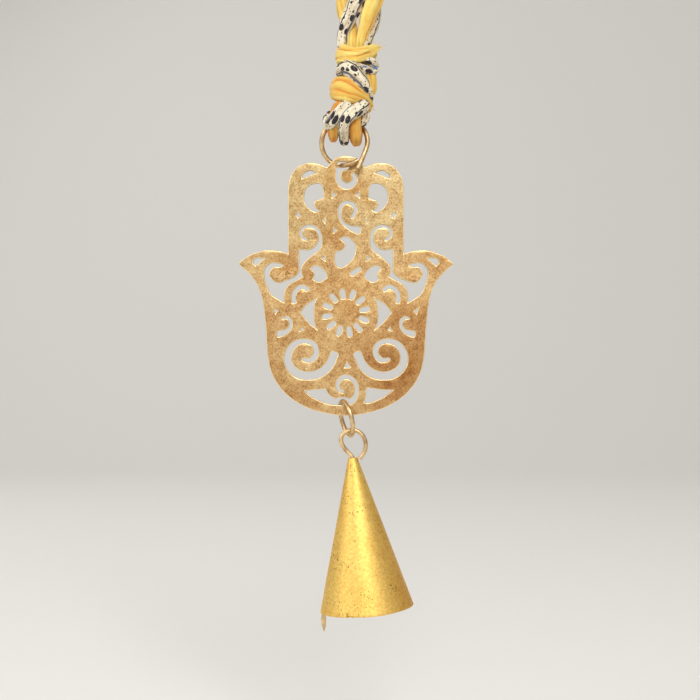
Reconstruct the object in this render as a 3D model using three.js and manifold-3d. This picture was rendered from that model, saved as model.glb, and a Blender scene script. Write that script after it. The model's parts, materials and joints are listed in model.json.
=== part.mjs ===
// A hamsa wind chime: a fretted hand cut from sheet metal hangs by an open wire ring from a cord of knotted
// cloth strips, and carries a rolled cone bell with a wire clapper on a link through its lower rim.
// Millimetres, +Z up, the face of the hand towards -Y. The origin is the inner top of the hanging loop.
import * as THREE from "three";
import { mergeVertices } from "three/addons/utils/BufferGeometryUtils.js";
import Module from "manifold-3d";

const wasm = await Module();
wasm.setup();

// The hand, from thumb tip to thumb tip and from the middle finger's top to the wrist
const HAND_WIDTH = 75;
const HAND_HEIGHT = 90.3;
const HAND_THICKNESS = 1.5;
const BAR_HEIGHT = 2.1; // strip over the slot that the ring passes through
const RIM_HEIGHT = 3.6; // strip under the gap that the link passes through
const SLOT_SLACK = 0.2; // spare height of the slot under the ring
const LINK_PLACE = -1.2; // the link's place on the rim, left of the hand's axis
const LINK_GAP_LENGTH = 5.2;
const END_EASE = 0.3; // corners of the openings' square ends
const HAND_OFFSET = 0.5; // the hand's axis, right of the ring's centre

// Wire pieces
const RING_DIAMETER = 17.7; // outside
const RING_WIRE = 1.7;
const LINK_LENGTH = 13.8; // outside
const LINK_DEPTH = 11.6; // outside, front to back
const LINK_WIRE = 1.6;
const LINK_LEAN = 13.3; // degrees, lower end to the right
const LINK_TURN = 21; // degrees, the front limb to the right
const LINK_SEAM = 9; // degrees of the link left open where its ends meet
const EYE_WIDTH = 10; // outside
const EYE_HEIGHT = 10.4; // from the eye's top to the cone's tip
const EYE_WIRE = 1.5;
const HOOK_SLACK = 0.65; // room round the clapper's wire in the hook inside the bell
const HOOK_DROP = 11.5; // from the cone's tip to the hook's centre
const HANG_GAP = 0.3; // room between a hanging piece and what it hangs on
const RING_GAP = 0.5; // room over the ring, which curves upwards through the slot
const RIM_GAP = 0.5; // room between the link and the rim

// The bell and its clapper
const CONE_HEIGHT = 52.5;
const CONE_MOUTH = 32.6; // outside diameter
const CONE_WALL = 0.5;
const TIP_GAP = 0.35; // room round the eye wire in the cone's tip
const BELL_TILT = 5.4; // degrees, mouth to the right
const CLAPPER_WIRE = 1.2;
const CLAPPER_EYE_SLACK = 0.45; // room round the hook's wire in the clapper's eye
const CLAPPER_TIP_LENGTH = 6.5; // the end that shows below the mouth
const CLAPPER_TIP_WIDTH = 1.7;
const CLAPPER_TIP_THICKNESS = 0.8;
const CLAPPER_BEND = 13; // degrees, how far that end bends back from the wall

// The cloth cord
const CORD_DROP = 95.5; // from the hanging loop's inner top to the ring's top wire
const CORD_LEAN = 6.4; // the hanging point, right of the ring's centre
const LOOP_THICKNESS = 4.4;
const STRAND_THICKNESS = 5.1;
const KNOT_BASE = 3.9; // the knot's underside, above the ring's top wire
const KNOT_HEIGHT = 22;
const KNOT_CENTRE = 2.6; // the knot's foot, right of the ring's centre
const KNOT_LEAN = 7.5; // degrees, the top to the right
const KNOT_HEART_RADIUS = 3.9;
const WRAP_THICKNESS = 2.2;
const WRAP_GAP = 0.4;
const TOP_KNOT_BASE = 46;
const TOP_KNOT_HEIGHT = 11.5;
const TOP_KNOT_RADIUS = 8.5;

// Fineness of the curves
const OUTLINE_STEP = 1.4;
const WIRE_SIDES = 8;
const WIRE_STEP = 1.5;
const CLOTH_SIDES = 10;
const CLOTH_STEP = 3;
const ROUND_SIDES = 40;
const CUT_OVERRUN = 2; // how far a cutter stands out of the sheet on each side

const degrees = THREE.MathUtils.degToRad;

// A closed mesh as a solid that can be joined or cut.
function solidOf(geometry) {
  const bare = geometry.clone();
  bare.deleteAttribute("normal");
  bare.deleteAttribute("uv");
  const merged = mergeVertices(bare, 1e-4);
  const vertProperties = new Float32Array(merged.attributes.position.array);
  const triVerts = new Uint32Array(merged.index.array);
  return new wasm.Manifold(new wasm.Mesh({ numProp: 3, vertProperties, triVerts }));
}

function geometryOf(solid) {
  const mesh = solid.getMesh();
  const geometry = new THREE.BufferGeometry();
  geometry.setAttribute("position", new THREE.BufferAttribute(mesh.vertProperties, 3));
  geometry.setIndex(new THREE.BufferAttribute(mesh.triVerts, 1));
  geometry.computeVertexNormals();
  return geometry;
}

// A prism with its outline in the XZ plane, centred on Y.
function prism(outline, depth) {
  const shape = new THREE.Shape(outline);
  const geometry = new THREE.ExtrudeGeometry(shape, { depth, bevelEnabled: false });
  geometry.rotateX(Math.PI / 2);
  geometry.translate(0, depth / 2, 0);
  return geometry;
}

// An outline made of smooth runs of [x, z] points, each run starting at the corner where the last one ended.
function smoothOutline(...runs) {
  const outline = [];
  for (const run of runs) {
    const curve = new THREE.SplineCurve(run.map(([x, z]) => new THREE.Vector2(x, z)));
    const steps = Math.max(run.length - 1, Math.round(curve.getLength() / OUTLINE_STEP));
    outline.push(...curve.getSpacedPoints(steps).slice(0, -1));
  }
  return outline;
}

// The outline of a stroke along [x, z, width] points. An end is round, or square with eased corners, and
// reaches about half the stroke's width past its last point.
function stroke(points, { squareStart = false, squareEnd = false } = {}) {
  const curve = new THREE.CatmullRomCurve3(points.map(([x, z, width]) => new THREE.Vector3(x, z, width)));
  const steps = Math.max(2, Math.round(curve.getLength() / OUTLINE_STEP));
  const line = curve.getSpacedPoints(steps);
  const left = [];
  const right = [];
  const normals = line.map((_, i) => {
    const before = line[Math.max(0, i - 1)];
    const after = line[Math.min(steps, i + 1)];
    return new THREE.Vector2(before.y - after.y, after.x - before.x).normalize();
  });
  line.forEach(({ x, y, z: width }, i) => {
    left.push(new THREE.Vector2(x, y).addScaledVector(normals[i], width / 2));
    right.push(new THREE.Vector2(x, y).addScaledVector(normals[i], -width / 2));
  });
  const roundEnd = (end, normal) => {
    const centre = new THREE.Vector2(end.x, end.y);
    return [45, 90, 135].map((turn) =>
      normal.clone().rotateAround(new THREE.Vector2(), -degrees(turn)).multiplyScalar(end.z / 2).add(centre),
    );
  };
  const squareCap = (end, normal) => {
    const ahead = normal.clone().rotateAround(new THREE.Vector2(), -degrees(90));
    const half = end.z / 2;
    const reach = 0.9 * half;
    return [
      [half, reach - END_EASE],
      [half - END_EASE, reach],
      [END_EASE - half, reach],
      [-half, reach - END_EASE],
    ].map(([aside, forward]) =>
      new THREE.Vector2(end.x, end.y).addScaledVector(normal, aside).addScaledVector(ahead, forward),
    );
  };
  const startCap = (squareStart ? squareCap : roundEnd)(line[0], normals[0].clone().negate());
  const endCap = (squareEnd ? squareCap : roundEnd)(line[steps], normals[steps]);
  return [...left, ...endCap, ...right.reverse(), ...startCap];
}

function polygon(...points) {
  return points.map(([x, z]) => new THREE.Vector2(x, z));
}

// A tube along a curve, with flat closed ends.
function tube(curve, thickness, sides, step) {
  const section = new THREE.Shape();
  section.absarc(0, 0, thickness / 2, 0, 2 * Math.PI, false);
  const steps = Math.max(4, Math.round(curve.getLength() / step));
  return new THREE.ExtrudeGeometry(section, { steps, curveSegments: sides / 2, extrudePath: curve });
}

function curveThrough(points) {
  return new THREE.CatmullRomCurve3(points.map(([x, y, z]) => new THREE.Vector3(x, y, z)));
}

function wire(points, thickness) {
  return tube(curveThrough(points), thickness, WIRE_SIDES, WIRE_STEP);
}

function strip(points, thickness) {
  return tube(curveThrough(points), thickness, CLOTH_SIDES, CLOTH_STEP);
}

// A turned solid about Z through [radius, z] points, from bottom to top.
function turned(profile) {
  const points = profile.map(([radius, z]) => new THREE.Vector2(radius, z));
  const geometry = new THREE.LatheGeometry(points, ROUND_SIDES);
  geometry.rotateX(Math.PI / 2);
  return geometry;
}

function finish(color, roughness, metalness) {
  return new THREE.MeshStandardMaterial({ color, roughness, metalness });
}

const antiqueGold = finish(0xd9aa5c, 0.42, 1);
const agedWire = finish(0xc49a5e, 0.4, 1);
const bellGold = finish(0xd8a93a, 0.38, 1);
const yellowCloth = finish(0xf2b84b, 0.9, 0);
const printedCloth = finish(0xe6dbc0, 0.9, 0);

function piece(name, geometry, material) {
  const mesh = new THREE.Mesh(geometry, material);
  mesh.name = name;
  return mesh;
}

// The fretted hand is drawn about its axis and the middle of its hanging bar, and then scaled to its size
const handTop = BAR_HEIGHT / 2;
const handBottom = handTop - HAND_HEIGHT;
const rimTop = handBottom + RIM_HEIGHT;

function mirrored(outline) {
  return outline.map(({ x, y }) => new THREE.Vector2(-x, y)).reverse();
}

function handOutline() {
  const middleFinger = [
    [0, 1.05],
    [-3.6, 0.1],
    [-6.6, -3.1],
  ];
  const sideFinger = [
    [-6.6, -3.1],
    [-9.4, -1.9],
    [-12.9, -1.4],
    [-17, -3.1],
    [-19.4, -6.6],
    [-20.1, -10.6],
  ];
  const fingerEdge = [
    [-20.1, -10.6],
    [-20.1, -33.1],
  ];
  const thumbTop = [
    [-20.1, -33.1],
    [-22.5, -32.3],
    [-27.2, -31.8],
    [-31.5, -32.8],
    [-34.8, -34.3],
    [-37.5, -36.6],
  ];
  const palm = [
    [-37.5, -36.6],
    [-33.9, -39.7],
    [-31.2, -43.2],
    [-29.2, -48.2],
    [-28.1, -56.3],
    [-27, -70],
    [-24.7, -76.9],
    [-20, -82.6],
    [-13, -86.8],
    [-4.8, -88.9],
    [0, -89.25],
  ];
  const left = smoothOutline(middleFinger, sideFinger, fingerEdge, thumbTop, palm);
  const right = mirrored(left).slice(0, -1);
  return [...left, new THREE.Vector2(0, -89.25), ...right];
}

const drawnHand = new THREE.Box2().setFromPoints(handOutline());
const drawnSize = drawnHand.getSize(new THREE.Vector2());

function toHandSize(outline) {
  return outline.map(
    ({ x, y }) =>
      new THREE.Vector2(
        (x * HAND_WIDTH) / drawnSize.x,
        handTop + ((y - drawnHand.max.y) * HAND_HEIGHT) / drawnSize.y,
      ),
  );
}

// Openings that stand on both sides of the hand, given on the left
function pairedOpenings() {
  const fingerCrescent = smoothOutline(
    [
      [-15.3, -6.9],
      [-15.1, -5.6],
      [-13.4, -4.3],
      [-12, -4.1],
      [-10.1, -5],
    ],
    [
      [-10.1, -5],
      [-12.1, -5.7],
      [-13.7, -6.4],
      [-15.3, -6.9],
    ],
  );
  const fingerComma = smoothOutline(
    [
      [-10.5, -14.4],
      [-11.3, -15.7],
      [-10.9, -16.9],
      [-9.2, -18],
    ],
    [
      [-9.2, -18],
      [-10.4, -18.6],
      [-12.1, -17.9],
      [-13.6, -16.5],
      [-14.5, -14.6],
      [-14.5, -12.6],
      [-14, -10.7],
      [-12.7, -9.3],
      [-11.2, -8.7],
      [-9.3, -8.6],
      [-8.3, -9.4],
      [-7.8, -13],
      [-8.3, -14],
      [-10.5, -14.4],
    ],
  );
  const fingerScroll = stroke([
    [-13.9, -28.1, 0.8],
    [-15.1, -27.4, 0.9],
    [-15.6, -26.3, 0.9],
    [-15.5, -24.9, 0.9],
    [-14.5, -23.8, 0.9],
    [-12.7, -23.4, 0.95],
    [-10.9, -23.9, 1],
    [-9.7, -25.1, 1],
    [-9, -27, 0.95],
    [-8.95, -28.9, 1.1],
  ]);
  const scrollFoot = smoothOutline(
    [
      [-16.3, -31.4],
      [-14.1, -31.8],
      [-12.2, -31.5],
      [-10.7, -30.5],
      [-9.6, -28.7],
    ],
    [
      [-9.6, -28.7],
      [-8.4, -28.7],
    ],
    [
      [-8.4, -28.7],
      [-8.5, -30.1],
      [-9.3, -31.8],
      [-10.9, -33],
      [-12.9, -34.6],
      [-14.6, -36.3],
      [-15.5, -37.7],
      [-15.6, -39.1],
      [-15, -41.1],
    ],
    [
      [-15, -41.1],
      [-17.3, -42.3],
      [-19.7, -43.7],
      [-21.1, -45.6],
      [-21.6, -47.6],
      [-21.6, -50.1],
    ],
    [
      [-21.6, -50.1],
      [-24.2, -48.5],
      [-25.9, -47.3],
      [-26.8, -45.7],
      [-28.3, -41.7],
      [-28.2, -38.3],
      [-25.9, -36.3],
      [-22.6, -36.6],
      [-21.9, -37.2],
    ],
    [
      [-21.9, -37.2],
      [-22.5, -37.8],
      [-24.2, -37.5],
      [-25.4, -37.8],
      [-26.7, -39.8],
      [-26.2, -41.4],
      [-23.9, -43.2],
      [-20.3, -42.2],
      [-18, -41.1],
      [-16.4, -39.5],
      [-16.3, -38.1],
    ],
    [
      [-16.3, -38.1],
      [-16.3, -31.4],
    ],
  );
  const thumbSlit = smoothOutline(
    [
      [-28.3, -34.6],
      [-29.3, -35.5],
      [-31.2, -37.2],
      [-31.8, -36.9],
      [-32.6, -35.8],
      [-31.8, -34.9],
      [-30.6, -34.5],
      [-28.3, -34.6],
    ],
  );
  const smallComma = smoothOutline(
    [
      [-12.2, -38.3],
      [-11.5, -37.4],
      [-10.1, -37.2],
      [-8.5, -38],
      [-7.1, -39.5],
      [-6.5, -41.1],
      [-7.4, -42],
      [-9.2, -42.9],
      [-10.5, -42.6],
      [-11.5, -41.9],
    ],
    [
      [-11.5, -41.9],
      [-10.8, -40.4],
      [-11.2, -39.4],
      [-12.2, -38.3],
    ],
  );
  const brow = stroke(
    [
      [-18, -49.6, 1.4],
      [-18.2, -47.4, 1.4],
      [-16.9, -45.3, 1.4],
      [-15, -44.5, 1.4],
      [-13.5, -45.4, 1.4],
    ],
    { squareStart: true, squareEnd: true },
  );
  const eyeCorner = smoothOutline(
    [
      [-10.1, -48.5],
      [-11.1, -51],
      [-11.1, -56.4],
      [-10.2, -59.3],
    ],
    [
      [-10.2, -59.3],
      [-12.9, -57],
      [-15.8, -53.5],
    ],
    [
      [-15.8, -53.5],
      [-13.7, -50.8],
      [-10.1, -48.5],
    ],
  );
  const sideCurl = stroke(
    [
      [-21.7, -55.5, 0.7],
      [-20.5, -55.2, 0.95],
      [-19.3, -56.4, 1],
      [-19.2, -58.1, 1],
      [-20.2, -59.7, 1.2],
      [-21.7, -60.5, 1.8],
      [-23.1, -60.9, 2],
    ],
    { squareEnd: true },
  );
  const palmSpiral = stroke(
    [
      [-14.8, -69.8, 1],
      [-12.4, -70.1, 1.6],
      [-10.4, -67.9, 1.7],
      [-10.8, -65.1, 1.6],
      [-13.9, -63.4, 1.5],
      [-17.7, -64.4, 1.9],
      [-20.1, -68, 2.4],
      [-19.8, -71.7, 2.6],
      [-17.1, -74.6, 2.8],
      [-13.2, -75.5, 2.7],
      [-9, -74.6, 2.8],
      [-5.9, -71.9, 2.8],
      [-4.2, -68.4, 2.6],
    ],
    { squareEnd: true },
  );
  const triangles = [
    polygon([-4.6, -11.5], [-4.7, -13.6], [-3.3, -12.5]),
    polygon([-16.8, -18.4], [-17.2, -19.4], [-16.7, -20.7], [-15.6, -19.9]),
    polygon([-7.3, -20.8], [-8, -21.5], [-7.4, -22.3]),
    polygon([-7.4, -33.7], [-8.5, -34.6], [-7.1, -35.6]),
    polygon([-25.3, -51.8], [-24.5, -53.9], [-23.7, -52.9]),
    polygon([-15.4, -58.5], [-16, -59.9], [-14.7, -59.4]),
  ];
  return [
    fingerCrescent,
    fingerComma,
    fingerScroll,
    scrollFoot,
    thumbSlit,
    smallComma,
    brow,
    eyeCorner,
    sideCurl,
    palmSpiral,
    ...triangles,
  ];
}

// Openings along the hand's axis, which aren't mirrored
function middleOpenings() {
  const topScroll = stroke([
    [-2.5, -2.6, 2.05],
    [-2.55, -4.4, 1.95],
    [-2.7, -5.9, 1.75],
    [-2.5, -7.3, 1.85],
    [-1.6, -8.7, 2.15],
    [0.2, -9.5, 2.2],
    [2.1, -8.9, 2],
    [3.05, -7.5, 1.65],
    [3, -6.2, 1.3],
    [2.45, -5.4, 0.95],
  ]);
  const tongueCorner = smoothOutline(
    [
      [-1.8, -5.6],
      [-1.62, -4.85],
      [-1.15, -4.25],
      [-0.5, -3.92],
      [0, -3.8],
    ],
    [
      [0, -3.8],
      [-0.3, -2.6],
    ],
    [
      [-0.3, -2.6],
      [-2.4, -2.6],
    ],
    [
      [-2.4, -2.6],
      [-2.4, -5.6],
    ],
    [
      [-2.4, -5.6],
      [-1.8, -5.6],
    ],
  );
  const sScroll = stroke(
    [
      [2.2, -20.2, 1.1],
      [3.4, -18, 1.2],
      [2.4, -15.9, 1.3],
      [0.8, -15.2, 1.1],
      [-1, -15.6, 1.2],
      [-2.1, -17.2, 1.1],
      [-2.2, -19, 1],
      [-2, -20.5, 0.85],
      [-1, -22.3, 0.85],
      [0.7, -23.6, 1.3],
      [2.6, -24.4, 2],
      [3.9, -24.7, 2.5],
    ],
    { squareEnd: true },
  );
  const middleComma = smoothOutline(
    [
      [-2, -27.9],
      [-0.9, -27.2],
      [0.8, -27.4],
      [2.9, -29.3],
      [3.4, -31.3],
      [3, -33.5],
      [1.8, -35.6],
      [-0.1, -37.2],
      [-2, -38],
      [-3.2, -37.3],
      [-3.8, -35.9],
      [-3.7, -32.7],
      [-3.1, -32.1],
      [-1.4, -31.9],
      [-0.5, -31.1],
      [-0.1, -30.1],
      [-0.8, -29],
      [-2, -27.9],
    ],
  );
  const dash = stroke(
    [
      [2.3, -40, 1.4],
      [4.5, -38.5, 1.4],
    ],
    { squareStart: true, squareEnd: true },
  );
  const bottomScroll = stroke([
    [-1.2, -81, 0.9],
    [-2.4, -80.3, 1.1],
    [-2.9, -78.6, 1.2],
    [-2.3, -77, 1.2],
    [-0.6, -75.9, 1.4],
    [0.9, -76, 1.4],
    [2.8, -77.3, 1.2],
    [3.7, -79.2, 1.1],
    [3.7, -81.1, 1.3],
    [3, -83.2, 1.6],
    [1.6, -84.5, 2],
  ]);
  const leftSliver = smoothOutline(
    [
      [-14.2, -80.6],
      [-11.2, -80.4],
      [-7.2, -80],
    ],
    [
      [-7.2, -80],
      [-6.3, -81.6],
      [-5, -82.9],
      [-3, -83.5],
    ],
    [
      [-3, -83.5],
      [-3, -85.6],
    ],
    [
      [-3, -85.6],
      [-6.5, -85.2],
      [-10.3, -83.7],
      [-13.1, -82],
      [-14.2, -80.6],
    ],
  );
  const rightSliver = smoothOutline(
    [
      [7.8, -79.5],
      [11, -80.2],
      [16.3, -80.5],
    ],
    [
      [16.3, -80.5],
      [12.8, -83.1],
      [9.1, -84.6],
      [6.6, -85],
      [6.4, -84.4],
      [7, -82.2],
      [7, -80.1],
      [7.8, -79.5],
    ],
  );
  const triangles = [
    polygon([-4.3, -23.9], [-4.2, -25.8], [-3.1, -25]),
    polygon([0.3, -70.6], [-0.5, -72.6], [1.6, -72.6]),
  ];
  const scrolls = [topScroll, tongueCorner, sScroll, bottomScroll];
  return [...scrolls, middleComma, dash, leftSliver, rightSliver, ...triangles];
}

// The ring of short rays that makes the eye
function eyeRays() {
  const count = 12;
  const firstTurn = -10;
  const centre = -53.6;
  const inner = 5.6;
  const outer = 7.7;
  const width = 1.45;
  const rays = [];
  for (let i = 0; i < count; i++) {
    const turn = degrees(firstTurn + (360 * i) / count);
    const at = (radius) => [radius * Math.sin(turn), centre + radius * Math.cos(turn), width];
    rays.push(stroke([at(inner), at(outer)], { squareStart: true, squareEnd: true }));
  }
  return rays;
}

// The open ring's middle line, and the turn at which it passes through the hand's slot
const ringRadius = (RING_DIAMETER - RING_WIRE) / 2;
const slotTurn = -174;

// The slot for the ring and the gap for the link are as wide as their wires need
function hangingOpenings() {
  const slotHeight = RING_WIRE + 2 * RING_GAP + SLOT_SLACK;
  const slotLength = RING_WIRE * Math.SQRT2 + HAND_THICKNESS + 2 * RING_GAP;
  const slotLine = -BAR_HEIGHT / 2 - slotHeight / 2;
  const slotReach = (slotLength - slotHeight) / 2;
  const slotCentre = ringRadius * Math.sin(degrees(slotTurn)) - HAND_OFFSET;
  const slot = stroke([
    [slotCentre - slotReach, slotLine, slotHeight],
    [slotCentre + slotReach, slotLine, slotHeight],
  ]);
  const gapHeight = LINK_WIRE + 2 * RIM_GAP;
  const gapReach = (LINK_GAP_LENGTH - gapHeight) / 2;
  const gapLine = rimTop + gapHeight / 2;
  const gap = stroke([
    [LINK_PLACE - gapReach, gapLine, gapHeight],
    [LINK_PLACE + gapReach, gapLine, gapHeight],
  ]);
  return [slot, gap];
}

function handPlate() {
  const paired = pairedOpenings();
  const drawn = [...paired, ...paired.map(mirrored), ...middleOpenings(), ...eyeRays()];
  const openings = [...drawn.map(toHandSize), ...hangingOpenings()];
  let sheet = solidOf(prism(toHandSize(handOutline()), HAND_THICKNESS));
  for (const opening of openings) {
    sheet = sheet.subtract(solidOf(prism(opening, HAND_THICKNESS + 2 * CUT_OVERRUN)));
  }
  return geometryOf(sheet);
}

// The ring winds once round from its front end, over the top inside the cloth, down behind the hand and
// forward through the slot. Angles are clockwise from the top as seen from the front. Depths are along Y, in
// shares of the depth at which the wire is just clear of the hand's face.
function ringPath() {
  const clearDepth = (HAND_THICKNESS + RING_WIRE) / 2 + RING_GAP;
  const turns = [
    [118, -2.1],
    [90, -1.4],
    [60, -0.7],
    [30, -0.25],
    [0, 0],
    [-30, 0.05],
    [-60, 0.2],
    [-90, 0.6],
    [-120, 1.3],
    [-146, 1.5],
    [slotTurn + 12, 1],
    [slotTurn, 0],
    [slotTurn - 12, -1.05],
    [-202, -1.5],
    [-216, -1.45],
  ];
  const straightEnd = [0.575 * ringRadius, -2.45 * clearDepth, -2.21 * ringRadius];
  const wound = turns.map(([turn, depth]) => [
    ringRadius * Math.sin(degrees(turn)),
    depth * clearDepth,
    ringRadius * (Math.cos(degrees(turn)) - 1),
  ]);
  return [straightEnd, ...wound];
}

// The link is an oval jump ring with its origin at its top wire, open at the seam in its back limb
const linkDrop = LINK_LENGTH - LINK_WIRE;

function linkPath() {
  const halfDepth = (LINK_DEPTH - LINK_WIRE) / 2;
  const halfDrop = linkDrop / 2;
  const seamTurn = 60;
  const count = 20;
  const points = [];
  for (let i = 0; i <= count; i++) {
    const turn = degrees(seamTurn + LINK_SEAM / 2 + ((360 - LINK_SEAM) * i) / count);
    points.push([0, halfDepth * Math.sin(turn), halfDrop * (Math.cos(turn) - 1)]);
  }
  return points;
}

// The bell's eye wire, its cone and its clapper are placed from the link's bottom wire, where the bell turns
const eyeTop = LINK_WIRE / 2 + HANG_GAP + EYE_WIRE / 2;
const coneTop = eyeTop + EYE_WIRE / 2 - EYE_HEIGHT;
const coneBottom = coneTop - CONE_HEIGHT;
const coneTip = EYE_WIRE / 2 + TIP_GAP + CONE_WALL;
const hookRadius = (EYE_WIRE + CLAPPER_WIRE) / 2 + HOOK_SLACK;
const hookCentre = coneTop - HOOK_DROP;
const clapperPivot = hookCentre - hookRadius;

function eyeWirePath() {
  const side = (EYE_WIDTH - EYE_WIRE) / 2;
  const height = eyeTop - coneTop;
  const cutEnd = coneTip + HANG_GAP + (EYE_WIRE * Math.SQRT1_2) / 2;
  const hookTurns = [-250, -225, -200, -175, -150, -125, -100, -75, -50, -25, 0];
  const hook = hookTurns.map((turn) => [
    0,
    hookRadius * Math.cos(degrees(turn)),
    hookCentre + hookRadius * Math.sin(degrees(turn)),
  ]);
  const stem = [
    [0, 0.8 * hookRadius, hookCentre + 0.3 * HOOK_DROP],
    [0, 0.15 * hookRadius, hookCentre + 0.65 * HOOK_DROP],
    [0, 0, coneTop - EYE_WIRE],
  ];
  const eye = [
    [-0.05, 0.05],
    [-0.32, 0.2],
    [-0.66, 0.42],
    [-0.82, 0.66],
    [-0.58, 0.9],
    [0, 1],
    [0.64, 0.93],
    [1.05, 0.71],
    [1.17, 0.46],
    [1.06, 0.22],
    [0.82, 0.06],
  ].map(([across, up]) => [across * side, 0, coneTop + up * height]);
  return [...hook, ...stem, ...eye, [cutEnd, 0, coneTop - 0.4 * EYE_WIRE]];
}

function cone() {
  const mouth = CONE_MOUTH / 2;
  return turned([
    [mouth - CONE_WALL, coneBottom],
    [mouth, coneBottom],
    [coneTip, coneTop],
    [coneTip - CONE_WALL, coneTop],
    [mouth - CONE_WALL, coneBottom],
  ]);
}

// The clapper's origin is where it turns on the hook. It leans until it nearly meets the mouth's inner edge.
const mouthDepth = clapperPivot - coneBottom;
const mouthInside = CONE_MOUTH / 2 - CONE_WALL;
const clapperRoom = CLAPPER_WIRE / 2 + HANG_GAP;
const clapperLean =
  Math.atan(mouthInside / mouthDepth) - Math.asin(clapperRoom / Math.hypot(mouthInside, mouthDepth));

function clapper() {
  const eyeRadius = (EYE_WIRE + CLAPPER_WIRE) / 2 + CLAPPER_EYE_SLACK;
  const eyeCentre = (EYE_WIRE + CLAPPER_WIRE) / 2 + HANG_GAP - eyeRadius;
  const knee = -mouthDepth / Math.cos(clapperLean);
  const bend = degrees(CLAPPER_BEND);
  const reach = 0.75 * CLAPPER_TIP_LENGTH;
  const turns = [250, 225, 200, 175, 150, 125, 100, 75, 50, 25, 0];
  const eye = turns.map((turn) => [
    eyeRadius * Math.cos(degrees(turn)),
    0,
    eyeCentre + eyeRadius * Math.sin(degrees(turn)),
  ]);
  const shank = [
    ...eye,
    [0.75 * eyeRadius, 0, eyeCentre - 1.5 * eyeRadius],
    [0.2 * eyeRadius, 0, eyeCentre - 3.5 * eyeRadius],
    [0, 0, eyeCentre - 5.5 * eyeRadius],
    [0, 0, 0.6 * knee],
    [0, 0, knee],
    [reach * Math.sin(bend), 0, knee - reach * Math.cos(bend)],
  ];
  const flatEnd = smoothOutline(
    [
      [0, 0],
      [CLAPPER_TIP_WIDTH / 2, -0.62 * CLAPPER_TIP_LENGTH],
      [0, -CLAPPER_TIP_LENGTH],
    ],
    [
      [0, -CLAPPER_TIP_LENGTH],
      [-CLAPPER_TIP_WIDTH / 2, -0.7 * CLAPPER_TIP_LENGTH],
      [0, 0],
    ],
  );
  const spade = prism(flatEnd, CLAPPER_TIP_THICKNESS);
  spade.rotateY(-bend);
  spade.translate(0, 0, knee);
  return geometryOf(solidOf(wire(shank, CLAPPER_WIRE)).add(solidOf(spade)));
}

// Routes of the cloth strips from the ring's top wire, chosen by eye: x to the right, y to the back, z up
const HITCH_STRIPS = {
  hitch_yellow_left: {
    thickness: 3.8,
    cloth: yellowCloth,
    route: [
      [-2.2, -5.3, 3.4],
      [-2.8, -5, 0.4],
      [-3.9, -4.7, -2.4],
      [-4.1, -3, -5.3],
      [-4.1, 0, -6.4],
      [-4.1, 3, -5.3],
      [-3.9, 4.7, -2.4],
      [-2.8, 5, 0.4],
      [-2.2, 5.3, 3.4],
    ],
  },
  hitch_yellow_right: {
    thickness: 4.4,
    cloth: yellowCloth,
    route: [
      [4.4, -5.3, 3.2],
      [4.2, -5.1, 0.4],
      [4.1, -5, -3],
      [4.1, -3.3, -6.3],
      [4.1, 0, -7.6],
      [4.1, 3.3, -6.3],
      [4.1, 5, -3],
      [4.2, 5.1, 0.4],
      [4.4, 5.3, 3.2],
    ],
  },
  hitch_print_centre: {
    thickness: 2.8,
    cloth: printedCloth,
    route: [
      [6.2, -8.9, 2.5],
      [3.4, -9.6, 1.2],
      [0.9, -9.3, -1],
      [-0.1, -7.8, -3.6],
      [-0.15, -5, -6],
      [-0.15, -2.5, -7.2],
      [-0.15, 0, -7.6],
      [-0.15, 2.5, -7.2],
      [-0.1, 5.2, -6],
      [0, 7.8, -3.6],
      [0.5, 8.8, 0],
      [0.8, 8.9, 3.4],
    ],
  },
  hitch_print_left: {
    thickness: 3,
    cloth: printedCloth,
    route: [
      [0.2, -8.6, 3.4],
      [-1.8, -9, 2.2],
      [-4.6, -8.4, 0.2],
      [-6.9, -5.6, -0.5],
      [-7.3, -2, 0.4],
      [-7.3, 2, 0.8],
      [-6.7, 5.6, 2],
      [-5.8, 7.4, 3.6],
    ],
  },
};

const PLAIT_STRANDS = {
  plait_yellow_right: {
    cloth: yellowCloth,
    route: [
      [5.3, -3.5, 26.7],
      [5.6, -3.5, 28.2],
      [8.2, -3.5, 34.6],
      [10.5, -3.2, 41.2],
      [11.6, -2.9, 44],
      [11.8, -2.8, 45.5],
    ],
  },
  plait_print_left: {
    cloth: printedCloth,
    route: [
      [-1.1, -3.1, 27],
      [-1, -3.2, 29.5],
      [1.5, -3.4, 35.6],
      [4.6, -3.2, 41.2],
      [5.9, -2.9, 44],
      [6, -2.8, 45.5],
    ],
  },
  plait_yellow_left: {
    cloth: yellowCloth,
    route: [
      [2.6, 1.9, 26.7],
      [2.3, 2.1, 28.4],
      [0, 2.7, 33],
      [-1, 2.5, 37.3],
      [-0.2, 1.9, 41.5],
      [0.4, 1.6, 45.5],
    ],
  },
  plait_print_right: {
    cloth: printedCloth,
    route: [
      [9, 0.9, 26.7],
      [9.6, 1.2, 28.2],
      [11.5, 2.4, 34],
      [11.6, 2.9, 38.7],
      [10.6, 3, 43],
      [10.4, 3, 45.5],
    ],
  },
};

// Wraps of the knot, from the bottom: height of the middle along the heart, height of the band and tilt in
// degrees, down to the right
const KNOT_WRAPS = {
  knot_wrap_yellow_lower: { cloth: yellowCloth, middle: 5, height: 6, tilt: 27 },
  knot_wrap_print: { cloth: printedCloth, middle: 11.3, height: 4.4, tilt: 27 },
  knot_wrap_yellow_upper: { cloth: yellowCloth, middle: 18.6, height: 4.8, tilt: 11 },
};

function knotHeart() {
  const waist = 0.9 * KNOT_HEART_RADIUS;
  return turned([
    [0, 0],
    [waist, 0],
    [KNOT_HEART_RADIUS, KNOT_HEIGHT / 2],
    [waist, KNOT_HEIGHT],
    [0, KNOT_HEIGHT],
  ]);
}

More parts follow.
